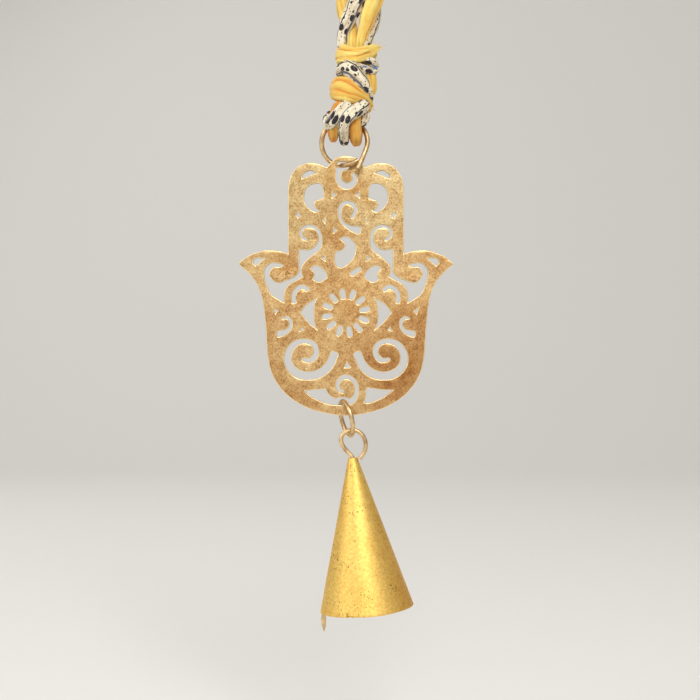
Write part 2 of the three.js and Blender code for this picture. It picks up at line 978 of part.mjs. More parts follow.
// A wrap is a soft band round the heart, wide enough to clear it where it tilts
function knotWrap({ height, tilt }) {
  const slant = degrees(tilt - KNOT_LEAN);
  const inside = KNOT_HEART_RADIUS / Math.cos(slant) + (height / 2) * Math.tan(slant) + WRAP_GAP;
  const outside = inside + WRAP_THICKNESS;
  const shoulder = inside + WRAP_THICKNESS / 2;
  return turned([
    [inside, -height / 2],
    [shoulder, -height / 2],
    [outside, -0.2 * height],
    [outside, 0.2 * height],
    [shoulder, height / 2],
    [inside, height / 2],
    [inside, -height / 2],
  ]);
}

function topKnot() {
  const top = TOP_KNOT_BASE + TOP_KNOT_HEIGHT;
  return turned([
    [0, TOP_KNOT_BASE],
    [0.7 * TOP_KNOT_RADIUS, TOP_KNOT_BASE],
    [TOP_KNOT_RADIUS, TOP_KNOT_BASE + 0.3 * TOP_KNOT_HEIGHT],
    [TOP_KNOT_RADIUS, TOP_KNOT_BASE + 0.7 * TOP_KNOT_HEIGHT],
    [0.6 * TOP_KNOT_RADIUS, top],
    [0, top],
  ]);
}

// One side of the hanging loop, from the top knot over the hook and back
function hangingLoop(depth) {
  const foot = TOP_KNOT_BASE + TOP_KNOT_HEIGHT + WRAP_GAP;
  const crown = CORD_DROP + LOOP_THICKNESS / 2;
  const rise = crown - foot;
  const halfRoute = [
    [-3.2, 0],
    [-3.3, 0.05],
    [-4.6, 0.18],
    [-8.6, 0.44],
    [-9.6, 0.68],
    [-7.4, 0.88],
    [-3.6, 0.98],
  ];
  const left = halfRoute.map(([x, share]) => [CORD_LEAN + x, depth, foot + share * rise]);
  const right = halfRoute.map(([x, share]) => [CORD_LEAN - x, depth, foot + share * rise]).reverse();
  return strip([...left, [CORD_LEAN, depth, crown], ...right], LOOP_THICKNESS);
}

// Assembly: every hanging piece is placed on what carries it, from the hanging point down
const chime = new THREE.Group();

const cord = new THREE.Group();
cord.position.set(-CORD_LEAN, 0, -CORD_DROP);
chime.add(cord);

for (const [name, { thickness, cloth, route }] of Object.entries(HITCH_STRIPS)) {
  cord.add(piece(name, strip(route, thickness), cloth));
}
for (const [name, { cloth, route }] of Object.entries(PLAIT_STRANDS)) {
  cord.add(piece(name, strip(route, STRAND_THICKNESS), cloth));
}
const knot = new THREE.Group();
knot.position.set(KNOT_CENTRE, 0, KNOT_BASE);
knot.rotation.y = degrees(KNOT_LEAN);
cord.add(knot);
knot.add(piece("knot_heart", knotHeart(), yellowCloth));
for (const [name, wrap] of Object.entries(KNOT_WRAPS)) {
  const band = piece(name, knotWrap(wrap), wrap.cloth);
  band.position.z = wrap.middle;
  band.rotation.y = degrees(wrap.tilt - KNOT_LEAN);
  knot.add(band);
}
const crownKnot = piece("top_knot", topKnot(), yellowCloth);
crownKnot.position.x = CORD_LEAN;
cord.add(crownKnot);
const loopDepth = (LOOP_THICKNESS + WRAP_GAP) / 2;
cord.add(piece("hanging_loop_yellow", hangingLoop(-loopDepth), yellowCloth));
cord.add(piece("hanging_loop_print", hangingLoop(loopDepth), printedCloth));

const ring = new THREE.Group();
ring.position.copy(cord.position);
chime.add(ring);
ring.add(piece("top_ring", wire(ringPath(), RING_WIRE), agedWire));

const hand = new THREE.Group();
hand.position.set(HAND_OFFSET, 0, -2 * ringRadius + RING_WIRE / 2 + RING_GAP + BAR_HEIGHT / 2);
ring.add(hand);
hand.add(piece("hamsa_plate", handPlate(), antiqueGold));

const link = new THREE.Group();
link.position.set(LINK_PLACE, 0, rimTop + RIM_GAP + LINK_WIRE / 2);
link.rotation.y = -degrees(LINK_LEAN);
hand.add(link);
const linkRing = piece("link_ring", wire(linkPath(), LINK_WIRE), agedWire);
linkRing.rotation.z = degrees(LINK_TURN);
link.add(linkRing);

const bell = new THREE.Group();
bell.position.set(0, 0, -linkDrop);
bell.rotation.y = degrees(LINK_LEAN - BELL_TILT);
link.add(bell);
bell.add(piece("bell_eye_wire", wire(eyeWirePath(), EYE_WIRE), agedWire));
bell.add(piece("bell_cone", cone(), bellGold));

const striker = new THREE.Group();
striker.position.set(0, 0, clapperPivot);
striker.rotation.y = clapperLean;
bell.add(striker);
striker.add(piece("clapper", clapper(), agedWire));

export default chime;
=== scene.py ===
# A hamsa wind chime as it hangs: a cord of knotted cloth strips, an open wire ring, a fretted gold hand, and
# a cone bell with its clapper on a link. Metres, +Z up, the face of the hand towards -Y.
import json
import math

import bmesh
import bpy
from mathutils import Matrix, Vector, noise


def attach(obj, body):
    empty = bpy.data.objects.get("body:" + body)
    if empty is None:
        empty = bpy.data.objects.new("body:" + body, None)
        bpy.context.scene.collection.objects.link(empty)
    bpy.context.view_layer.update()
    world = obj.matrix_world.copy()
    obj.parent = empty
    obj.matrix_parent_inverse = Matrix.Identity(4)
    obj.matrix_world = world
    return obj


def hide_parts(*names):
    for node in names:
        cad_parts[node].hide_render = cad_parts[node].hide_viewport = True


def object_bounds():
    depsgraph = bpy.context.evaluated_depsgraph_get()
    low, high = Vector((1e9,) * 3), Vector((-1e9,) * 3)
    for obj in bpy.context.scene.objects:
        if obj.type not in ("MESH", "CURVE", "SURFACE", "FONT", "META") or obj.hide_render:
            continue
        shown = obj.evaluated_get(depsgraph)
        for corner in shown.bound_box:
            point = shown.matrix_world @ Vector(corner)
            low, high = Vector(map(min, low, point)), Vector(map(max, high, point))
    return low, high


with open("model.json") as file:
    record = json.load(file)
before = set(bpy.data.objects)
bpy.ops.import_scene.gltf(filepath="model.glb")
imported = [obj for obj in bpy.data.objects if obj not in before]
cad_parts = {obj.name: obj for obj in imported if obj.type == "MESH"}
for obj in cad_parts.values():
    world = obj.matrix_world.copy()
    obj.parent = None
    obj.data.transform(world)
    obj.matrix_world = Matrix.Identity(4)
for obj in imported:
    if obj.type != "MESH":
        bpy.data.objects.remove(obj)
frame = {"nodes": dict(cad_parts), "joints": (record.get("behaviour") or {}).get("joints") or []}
cad_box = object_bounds()
MM = 0.001
pivot = {joint["name"]: Vector(joint["pos_m"]) for joint in frame["joints"]}
scene = bpy.context.scene

# Camera: it looks straight at the hand from 480 mm, level with the middle of the picture.
# The picture spans 244 mm of the hand's plane.
picture_middle = Vector((-4.5, 0, -175.6)) * MM
picture_width = 243.6 * MM
camera_distance = 480 * MM
bpy.ops.object.select_all(action="DESELECT")
bpy.ops.object.camera_add(
    location=picture_middle - Vector((0, camera_distance, 0)),
    rotation=(math.radians(90), 0, 0),
)
camera = bpy.context.object
camera.data.lens = camera.data.sensor_width * camera_distance / picture_width
camera.data.clip_start = 0.01
scene.camera = camera
scene.view_settings.view_transform = "Standard"


def linear(hex_colour):
    """An sRGB hex colour as the linear colour that a shader takes."""
    channels = [int(hex_colour[i : i + 2], 16) / 255 for i in (1, 3, 5)]
    return [c / 12.92 if c <= 0.04045 else ((c + 0.055) / 1.055) ** 2.4 for c in channels] + [1]


def add_node(tree, kind, settings, links=()):
    """Adds a shader node, sets its properties and sockets, and links its inputs."""
    node = tree.nodes.new(f"ShaderNode{kind}")
    for name, value in settings.items():
        if isinstance(name, str) and hasattr(node, name):
            setattr(node, name, value)
        else:
            node.inputs[name].default_value = value
    for name, source in links:
        tree.links.new(source, node.inputs[name])
    return node


def new_material(name, roughness, metallic=0.0):
    """A material with its Principled shader, ready for the nodes that colour it."""
    material = bpy.data.materials.new(name)
    material.use_nodes = True
    shader = material.node_tree.nodes["Principled BSDF"]
    shader.inputs["Roughness"].default_value = roughness
    shader.inputs["Metallic"].default_value = metallic
    return material, material.node_tree, shader


# Stage: a pale sheet of paper that runs along the floor and sweeps up behind the chime.
# The chime hangs clear of it.
paper_reach = 20.0
paper_height = 3.2
floor_drop = 60 * MM
floor_level = cad_box[0].z - floor_drop
back_place = 1.3
sweep_radius = 0.7
bpy.ops.object.select_all(action="DESELECT")
bpy.ops.mesh.primitive_plane_add(size=2 * paper_reach, location=(0, back_place - paper_reach, floor_level))
paper = bpy.context.object
paper.name = "backdrop_paper"
bpy.ops.object.mode_set(mode="EDIT")
bpy.ops.mesh.select_all(action="DESELECT")
sheet = bmesh.from_edit_mesh(paper.data)
for edge in sheet.edges:
    edge.select = all(vertex.co.y > paper_reach / 2 for vertex in edge.verts)
bmesh.update_edit_mesh(paper.data)
bpy.ops.mesh.extrude_region_move(TRANSFORM_OT_translate={"value": (0, 0, paper_height)})
bpy.ops.mesh.select_all(action="DESELECT")
sheet = bmesh.from_edit_mesh(paper.data)
for edge in sheet.edges:
    edge.select = all(v.co.y > paper_reach / 2 and abs(v.co.z) < MM for v in edge.verts)
bmesh.update_edit_mesh(paper.data)
bpy.ops.mesh.bevel(offset=sweep_radius, segments=24)
bpy.ops.object.mode_set(mode="OBJECT")
bpy.ops.object.shade_smooth()
# Matt paper: bare white board with no gloss. It glows a little to the camera and to what mirrors it, so that
# it stays pale without more light on the chime, and it keeps the shadow.
paper_glow = 0.16
matt_paper, tree, shader = new_material("matt_paper", 0.95)
shader.inputs["Base Color"].default_value = linear("#DCD9D4")
shader.inputs["Specular IOR Level"].default_value = 0.1
shader.inputs["Emission Color"].default_value = linear("#F1EFEB")
ray = add_node(tree, "LightPath", {})
seen = add_node(
    tree, "Math", {"operation": "ADD"}, [(0, ray.outputs["Is Camera Ray"]), (1, ray.outputs["Is Glossy Ray"])]
)
shown = add_node(
    tree,
    "Math",
    {"operation": "ADD", "use_clamp": True},
    [(0, seen.outputs["Value"]), (1, ray.outputs["Is Transmission Ray"])],
)
glow = add_node(tree, "Math", {"operation": "MULTIPLY", 1: paper_glow}, [(0, shown.outputs["Value"])])
tree.links.new(glow.outputs["Value"], shader.inputs["Emission Strength"])
paper.data.materials.append(matt_paper)

# Light: a wide soft box behind the camera, which the flat gilding mirrors, a key above it, weaker ones at the
# left and the back, and a plain grey room about as pale as the paper.
room_light = 0.58
world = bpy.data.worlds.new("plain_room")
world.use_nodes = True
room = world.node_tree.nodes["Background"]
room.inputs["Color"].default_value = linear("#F4F2EF")
room.inputs["Strength"].default_value = room_light
scene.world = world
soft_boxes = (
    ("front_soft_box", (0.1, -1.3, 0.2), 1.0, 0.5),
    ("key_soft_box", (0.14, -0.95, 0.46), 0.45, 6.6),
    ("left_soft_box", (-0.8, -0.45, 0.25), 0.6, 3),
    ("back_soft_box", (-0.5, 0.8, 0.7), 0.6, 3),
)
for name, place, size, power in soft_boxes:
    bpy.ops.object.light_add(type="AREA", location=place)
    lamp = bpy.context.object
    lamp.name = name
    lamp.data.size = size
    lamp.data.energy = power
    lamp.rotation_euler = (picture_middle - lamp.location).to_track_quat("-Z", "Y").to_euler()


# Cloth cord: two strips torn from cotton, one plain yellow and one printed, each doubled over at the hanging
# loop, plaited and knotted. Each bunches into a soft tube with pleats along it. Routes are millimetres from
# the ring's top wire: x to the right, y to the back, z up.
ring_top = pivot["ring_swing"]
cloth_step = 0.3
cloth_sides = 72


def smooth_line(points, step):
    """Points a step apart on a centripetal curve through the given ones, each with its place in the list."""
    knots = [Vector(p) for p in points]
    knots = [2 * knots[0] - knots[1], *knots, 2 * knots[-1] - knots[-2]]
    line = []
    for i in range(1, len(knots) - 2):
        before, start, end, after = knots[i - 1 : i + 3]
        pairs = zip(knots[i - 1 : i + 2], knots[i : i + 3])
        first, middle, last = (max((b - a).length, 1e-6) ** 0.5 for a, b in pairs)
        slope = (end - start) / middle
        leave = middle * ((start - before) / first - (end - before) / (first + middle) + slope)
        reach = middle * (slope - (after - start) / (middle + last) + (after - end) / last)
        count = max(2, round((end - start).length / step))
        for k in range(count):
            t = k / count
            hermite = (
                (2 * t**3 - 3 * t**2 + 1) * start
                + (t**3 - 2 * t**2 + t) * leave
                + (3 * t**2 - 2 * t**3) * end
                + (t**3 - t**2) * reach
            )
            line.append((hermite, i - 1 + t))
    line.append((knots[-2], len(knots) - 3))
    return line


def between(values, place):
    """The value at a place in a list, on a smooth ramp between its neighbours."""
    low = min(int(place), len(values) - 1)
    high = min(low + 1, len(values) - 1)
    share = place - low
    ease = share * share * (3 - 2 * share)
    return values[low] * (1 - ease) + values[high] * ease


def to_viewer(point):
    """The side of a hanging strip that shows: its front."""
    return Vector((0, -1, 0))


def cloth_strip(name, route, widths, flatness, outward, folds, seed, shade=0.4, blue=0.0):
    """A strip of cloth bunched into a tube along a route. A fold is (first angle, last angle, height,
    spread): below nothing it is a sunk fold, above it a free edge that lies over the rest. Shade is how deep
    the painted shade is where the strip lies flat; sunk folds are painted deeper as shade and raised ones
    paler as highlight."""
    line = smooth_line(route, cloth_step)
    vertices, painted_fold_shades, uvs = [], [], []
    run = 0.0
    for i, (point, place) in enumerate(line):
        ahead = line[min(i + 1, len(line) - 1)][0]
        behind = line[max(i - 1, 0)][0]
        along = (ahead - behind).normalized()
        out = outward(point)
        out = (out - out.dot(along) * along).normalized()
        side = along.cross(out)
        if i:
            run += (point - line[i - 1][0]).length
        share = i / (len(line) - 1)
        end_gap = min(i, len(line) - 1 - i) * cloth_step
        tuck = 0.4 + 0.6 * math.sin(min(1.0, end_gap / 1.8) * math.pi / 2)
        width = between(widths, place) * tuck
        for k in range(cloth_sides):
            turn = 2 * math.pi * k / cloth_sides - math.pi
            across, up = math.sin(turn), math.cos(turn)
            raised = 0.0
            for first, last, height, spread in folds:
                middle = math.radians(first + (last - first) * share)
                middle += 0.45 * noise.noise(Vector((run * 0.13, first, seed)))
                height *= max(0.15, 0.8 + 1.3 * noise.noise(Vector((run * 0.16, seed, first))))
                apart = (turn - middle + math.pi) % (2 * math.pi) - math.pi
                if height < 0:
                    raised += height * math.exp(-abs(apart) / math.radians(spread))
                elif apart > 0:
                    raised += height * math.exp(-apart / math.radians(spread))
            drawn = noise.noise(Vector((run * 0.13 + seed, 2.0 * across, 2.0 * up)))
            ruck = noise.noise(Vector((run * 0.75, 1.1 * across + seed, 1.1 * up)))
            raised += 0.2 * drawn + 0.09 * ruck
            reach_across = width / 2 + raised
            reach_up = width * flatness / 2 + raised
            vertices.append(ring_top + MM * (point + reach_across * across * side + reach_up * up * out))
            # Painted shade and highlight: the colour goes deeper where a fold sinks and paler where it rises.
            painted_fold_shades.append(max(0.0, min(1.0, shade - 1.2 * raised)))
            uvs.append((width * turn / 2, run + 13 * seed))
    rings = len(line)
    faces = []
    for i in range(rings - 1):
        for k in range(cloth_sides):
            after = (k + 1) % cloth_sides
            low, high = i * cloth_sides, (i + 1) * cloth_sides
            faces.append((low + k, low + after, high + after, high + k))
    faces.append(tuple(reversed(range(cloth_sides))))
    faces.append(tuple(range((rings - 1) * cloth_sides, rings * cloth_sides)))
    mesh = bpy.data.meshes.new(name)
    mesh.from_pydata(vertices, [], faces)
    mesh.attributes.new("painted_fold_shade", "FLOAT", "POINT").data.foreach_set("value", painted_fold_shades)
    mesh.attributes.new("blue", "FLOAT", "POINT").data.foreach_set("value", [blue] * len(vertices))
    uv_map = mesh.uv_layers.new(name="cloth")
    for polygon in mesh.polygons:
        columns = [vertex % cloth_sides for vertex in polygon.vertices]
        crosses_back = len(columns) == 4 and max(columns) - min(columns) > 1
        for loop in polygon.loop_indices:
            vertex = mesh.loops[loop].vertex_index
            u, v = uvs[vertex]
            if crosses_back and vertex % cloth_sides == 0:
                u = -u
            uv_map.data[loop].uv = (u, v)
    strip = bpy.data.objects.new(name, mesh)
    scene.collection.objects.link(strip)
    bpy.ops.object.select_all(action="DESELECT")
    strip.select_set(True)
    bpy.context.view_layer.objects.active = strip
    bpy.ops.object.mode_set(mode="EDIT")
    bpy.ops.mesh.select_all(action="SELECT")
    bpy.ops.mesh.normals_make_consistent(inside=False)
    bpy.ops.object.mode_set(mode="OBJECT")
    bpy.ops.object.shade_smooth()
    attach(strip, "cord")
    return strip


def line_length(route):
    """A route's length in metres."""
    points = [point for point, _ in smooth_line(route, cloth_step)]
    return MM * sum((b - a).length for a, b in zip(points, points[1:]))


# Yellow cotton: plain woven, dyed in the piece and torn. Its yellow is painted deep orange in the pleats as
# shade and pale on the ridges as highlight, and the threads, 0.45 mm apart, give a faint square grain and a
# dull sheen.
thread_spacing = 0.45
wave_bands = 3.2  # a wave texture's bands in one unit


def add_weave(tree, shader, cloth_place):
    """Lifts the threads of a plain weave, which run along the strip and across it."""
    thread_sets = []
    for direction in ("X", "Y"):
        threads = add_node(
            tree,
            "TexWave",
            {"bands_direction": direction, "Scale": 1 / (thread_spacing * wave_bands), "Distortion": 0.6},
            [("Vector", cloth_place.outputs["UV"])],
        )
        thread_sets.append(threads.outputs["Fac"])
    weave = add_node(tree, "Math", {"operation": "ADD"}, list(enumerate(thread_sets)))
    lifted = add_node(
        tree,
        "Bump",
        {"Strength": 0.35, "Distance": 0.12 * MM},
        [("Height", weave.outputs["Value"])],
    )
    tree.links.new(lifted.outputs["Normal"], shader.inputs["Normal"])


yellow_cotton, tree, shader = new_material("yellow_cotton", 0.86)
shader.inputs["Sheen Weight"].default_value = 0.15
shader.inputs["Specular IOR Level"].default_value = 0.2
painted_fold_shade = add_node(tree, "Attribute", {"attribute_name": "painted_fold_shade"})
# Painted highlight and shade: pale on raised folds, deep orange in sunk ones.
dye_and_fold_shade = add_node(tree, "ValToRGB", {}, [("Fac", painted_fold_shade.outputs["Fac"])])
dye_and_fold_shade.color_ramp.elements[0].position = 0.15
dye_and_fold_shade.color_ramp.elements[0].color = linear("#FEE684")
dye_and_fold_shade.color_ramp.elements[1].position = 0.85
dye_and_fold_shade.color_ramp.elements[1].color = linear("#E79A40")
middle_dye = dye_and_fold_shade.color_ramp.elements.new(0.45)
middle_dye.color = linear("#F8CD66")
cloth_place = add_node(tree, "UVMap", {"uv_map": "cloth"})
blotches = add_node(tree, "TexNoise", {"Scale": 0.3, "Detail": 3}, [("Vector", cloth_place.outputs["UV"])])
worn = add_node(
    tree,
    "Mix",
    {"data_type": "RGBA", "blend_type": "MULTIPLY", 0: 0.22},
    [(6, dye_and_fold_shade.outputs["Color"]), (7, blotches.outputs["Color"])],
)
tree.links.new(worn.outputs[2], shader.inputs["Base Color"])
add_weave(tree, shader, cloth_place)

# Printed cotton: the same cloth left cream and printed with scattered charcoal ovals, a few of them blue,
# with small specks, and with a grey stripe and a thin dark line along the strip's edges.
oval_across = 2.2
oval_along = 3.1
speck_across = 1.3
speck_along = 1.7
stripe_place = 2.0
stripe_half = 0.42
line_place = -2.2
line_half = 0.2
printed_cotton, tree, shader = new_material("printed_cotton", 0.86)
shader.inputs["Sheen Weight"].default_value = 0.1
shader.inputs["Specular IOR Level"].default_value = 0.2
cloth_place = add_node(tree, "UVMap", {"uv_map": "cloth"})
painted_fold_shade = add_node(tree, "Attribute", {"attribute_name": "painted_fold_shade"})
# Painted shade: the cream turns brown in sunk folds and stays palest on raised ones as painted highlight.
ground = add_node(tree, "ValToRGB", {}, [("Fac", painted_fold_shade.outputs["Fac"])])
ground.color_ramp.elements[0].position = 0.2
ground.color_ramp.elements[0].color = linear("#EFE6CC")
ground.color_ramp.elements[1].position = 0.85
ground.color_ramp.elements[1].color = linear("#B4966E")
oval_cells = add_node(
    tree,
    "Mapping",
    {"Scale": (1 / oval_across, 1 / oval_along, 1)},
    [("Vector", cloth_place.outputs["UV"])],
)
cells = add_node(
    tree,
    "TexVoronoi",
    {"voronoi_dimensions": "2D", "Scale": 1, "Randomness": 0.7},
    [("Vector", oval_cells.outputs["Vector"])],
)
cell_draw = add_node(tree, "SeparateColor", {}, [("Color", cells.outputs["Color"])])
oval_radius = add_node(
    tree,
    "MapRange",
    {"From Min": 0.25, "From Max": 0.7, "To Min": 0.0, "To Max": 0.4},
    [("Value", cell_draw.outputs["Red"])],
)
oval = add_node(
    tree,
    "Math",
    {"operation": "LESS_THAN"},
    [(0, cells.outputs["Distance"]), (1, oval_radius.outputs["Result"])],
)
blue_share = add_node(tree, "Attribute", {"attribute_name": "blue"})
blue_draw = add_node(
    tree, "Math", {"operation": "ADD"}, [(0, cell_draw.outputs["Green"]), (1, blue_share.outputs["Fac"])]
)
is_blue = add_node(tree, "Math", {"operation": "GREATER_THAN", 1: 1.02}, [(0, blue_draw.outputs["Value"])])
ink = add_node(
    tree,
    "Mix",
    {"data_type": "RGBA", 6: linear("#332E33"), 7: linear("#5585C0")},
    [(0, is_blue.outputs["Value"])],
)
with_ovals = add_node(
    tree,
    "Mix",
    {"data_type": "RGBA"},
    [(0, oval.outputs["Value"]), (6, ground.outputs["Color"]), (7, ink.outputs[2])],
)
speck_cells = add_node(
    tree,
    "Mapping",
    {"Scale": (1 / speck_across, 1 / speck_along, 1)},
    [("Vector", cloth_place.outputs["UV"])],
)
speck_draw = add_node(
    tree,
    "TexVoronoi",
    {"voronoi_dimensions": "2D", "Scale": 1, "Randomness": 0.9},
    [("Vector", speck_cells.outputs["Vector"])],
)
speck = add_node(tree, "Math", {"operation": "LESS_THAN", 1: 0.15}, [(0, speck_draw.outputs["Distance"])])
with_specks = add_node(
    tree,
    "Mix",
    {"data_type": "RGBA", 7: linear("#6B5F58")},
    [(0, speck.outputs["Value"]), (6, with_ovals.outputs[2])],
)
wander = add_node(tree, "TexNoise", {"Scale": 0.2, "Detail": 1}, [("Vector", cloth_place.outputs["UV"])])
cloth_axes = add_node(tree, "SeparateXYZ", {}, [("Vector", cloth_place.outputs["UV"])])
wandered = add_node(
    tree,
    "Math",
    {"operation": "MULTIPLY_ADD", 1: 2.2},
    [(0, wander.outputs["Fac"]), (2, cloth_axes.outputs["X"])],
)
from_middle = add_node(tree, "Math", {"operation": "SUBTRACT", 1: 1.1}, [(0, wandered.outputs["Value"])])
stripe = add_node(
    tree,
    "Math",
    {"operation": "COMPARE", 1: stripe_place, 2: stripe_half},
    [(0, from_middle.outputs["Value"])],
)
with_stripe = add_node(
    tree,
    "Mix",
    {"data_type": "RGBA", 7: linear("#67656B")},
    [(0, stripe.outputs["Value"]), (6, with_specks.outputs[2])],
)
edge_line = add_node(
    tree, "Math", {"operation": "COMPARE", 1: line_place, 2: line_half}, [(0, from_middle.outputs["Value"])]
)
with_line = add_node(
    tree,
    "Mix",
    {"data_type": "RGBA", 7: linear("#2B272C")},
    [(0, edge_line.outputs["Value"]), (6, with_stripe.outputs[2])],
)
tree.links.new(with_line.outputs[2], shader.inputs["Base Color"])
add_weave(tree, shader, cloth_place)

# Hitch: the strips' ends go through the ring in four lobes, two of each cloth, and back up into the knot.
# They are pulled tight against the wire.


def from_wire(point):
    """The side of a lobe that faces away from the ring's wire."""
    return Vector((0, point.y, point.z + 1.5))


hitch_routes = {
    "hitch_yellow_left": (
        [(-1.6, -5.0, 5.5), (-2.6, -5.2, 1.6), (-3.6, -5, -2.0), (-3.8, -3.2, -5.0), (-3.9, 0, -6.3)]
        + [(-4.0, 3, -5.3), (-3.8, 4.7, -2.4), (-2.8, 5, 1.0), (-2.0, 5, 5.0)],
        [4.0, 4.8, 4.8, 3.9, 3.0, 3.6, 4.4, 4.4, 4.2],
        yellow_cotton,
        "yellow_cloth",
    ),
    "hitch_yellow_right": (
        [(4.0, -5.0, 5.5), (3.8, -5.3, 1.6), (3.5, -5.3, -2.6), (3.7, -3.6, -6.0), (3.8, 0, -7.5)]
        + [(4.1, 3.3, -6.3), (4.1, 5, -3), (4.2, 5.1, 1.0), (4.4, 5, 5.0)],
        [4.4, 4.8, 4.9, 4.7, 3.5, 4.2, 4.8, 4.6, 4.4],
        yellow_cotton,
        "yellow_cloth",
    ),
    "hitch_print_centre": (
        [(7.2, -4.6, 4.4), (6.0, -7.6, 3.4), (3.4, -9.2, 1.4), (0.9, -9.2, -0.8), (-0.3, -7.9, -3.4)]
        + [(-0.2, -5.2, -5.6), (-0.15, -2.6, -6.9), (-0.15, 0, -7.3), (-0.15, 2.5, -7.0), (-0.1, 5.2, -5.8)]
        + [(0, 7.4, -3.4), (0.5, 7.6, 0), (0.8, 6.6, 4.4)],
        [3.4, 4.8, 5.0, 4.6, 3.9, 3.6, 3.3, 3.2, 3.3, 3.4, 3.2, 3.2, 3.2],
        printed_cotton,
        "printed_cloth",
    ),
    "hitch_print_left": (
        [(1.4, -6.0, 4.4), (0.0, -7.8, 3.0), (-2.0, -8.8, 0.8), (-3.8, -8.0, -1.5), (-5.1, -5.4, -2.5)]
        + [(-5.7, -2.4, -1.2), (-5.9, 1.6, 0.2), (-5.6, 5.2, 1.8), (-4.4, 6.4, 4.0)],
        [3.6, 4.2, 4.4, 4.2, 3.8, 3.4, 3.4, 3.4, 3.2],
        printed_cotton,
        "printed_cloth",
    ),
}
lobe_folds = [(50, 80, -0.4, 12), (-60, -30, 0.3, 50), (170, 200, -0.3, 16), (5, -20, -0.25, 9)]
# Painted shade: the yellow lobes lie in the knot's shade and are set deep orange.
yellow_lobe_shade = 0.82
print_lobe_shade = 0.35
for number, (name, (route, widths, cotton, finish)) in enumerate(hitch_routes.items()):
    shade = yellow_lobe_shade if cotton is yellow_cotton else print_lobe_shade
    lobe = cloth_strip(f"{name}_cloth", route, widths, 0.96, from_wire, lobe_folds, 3.0 + number, shade)
    lobe.data.materials.append(cotton)
    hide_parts(name)

# Knot: the strips turn round each other above the ring, round a heart of strips that run through it.
# Three turns show: yellow at the foot, printed across the middle and yellow at the top. At the right the
# printed strip doubles back in a small fold, and a yellow strand of the heart bulges out below it.
knot_foot = Vector((2.6, 0, 3.9))
knot_lean = math.radians(7.5)
knot_axis = Vector((math.sin(knot_lean), 0, math.cos(knot_lean)))


def from_knot(point):
    """The side of a turn that faces away from the knot's axis."""
    reach = point - knot_foot
    return reach - reach.dot(knot_axis) * knot_axis


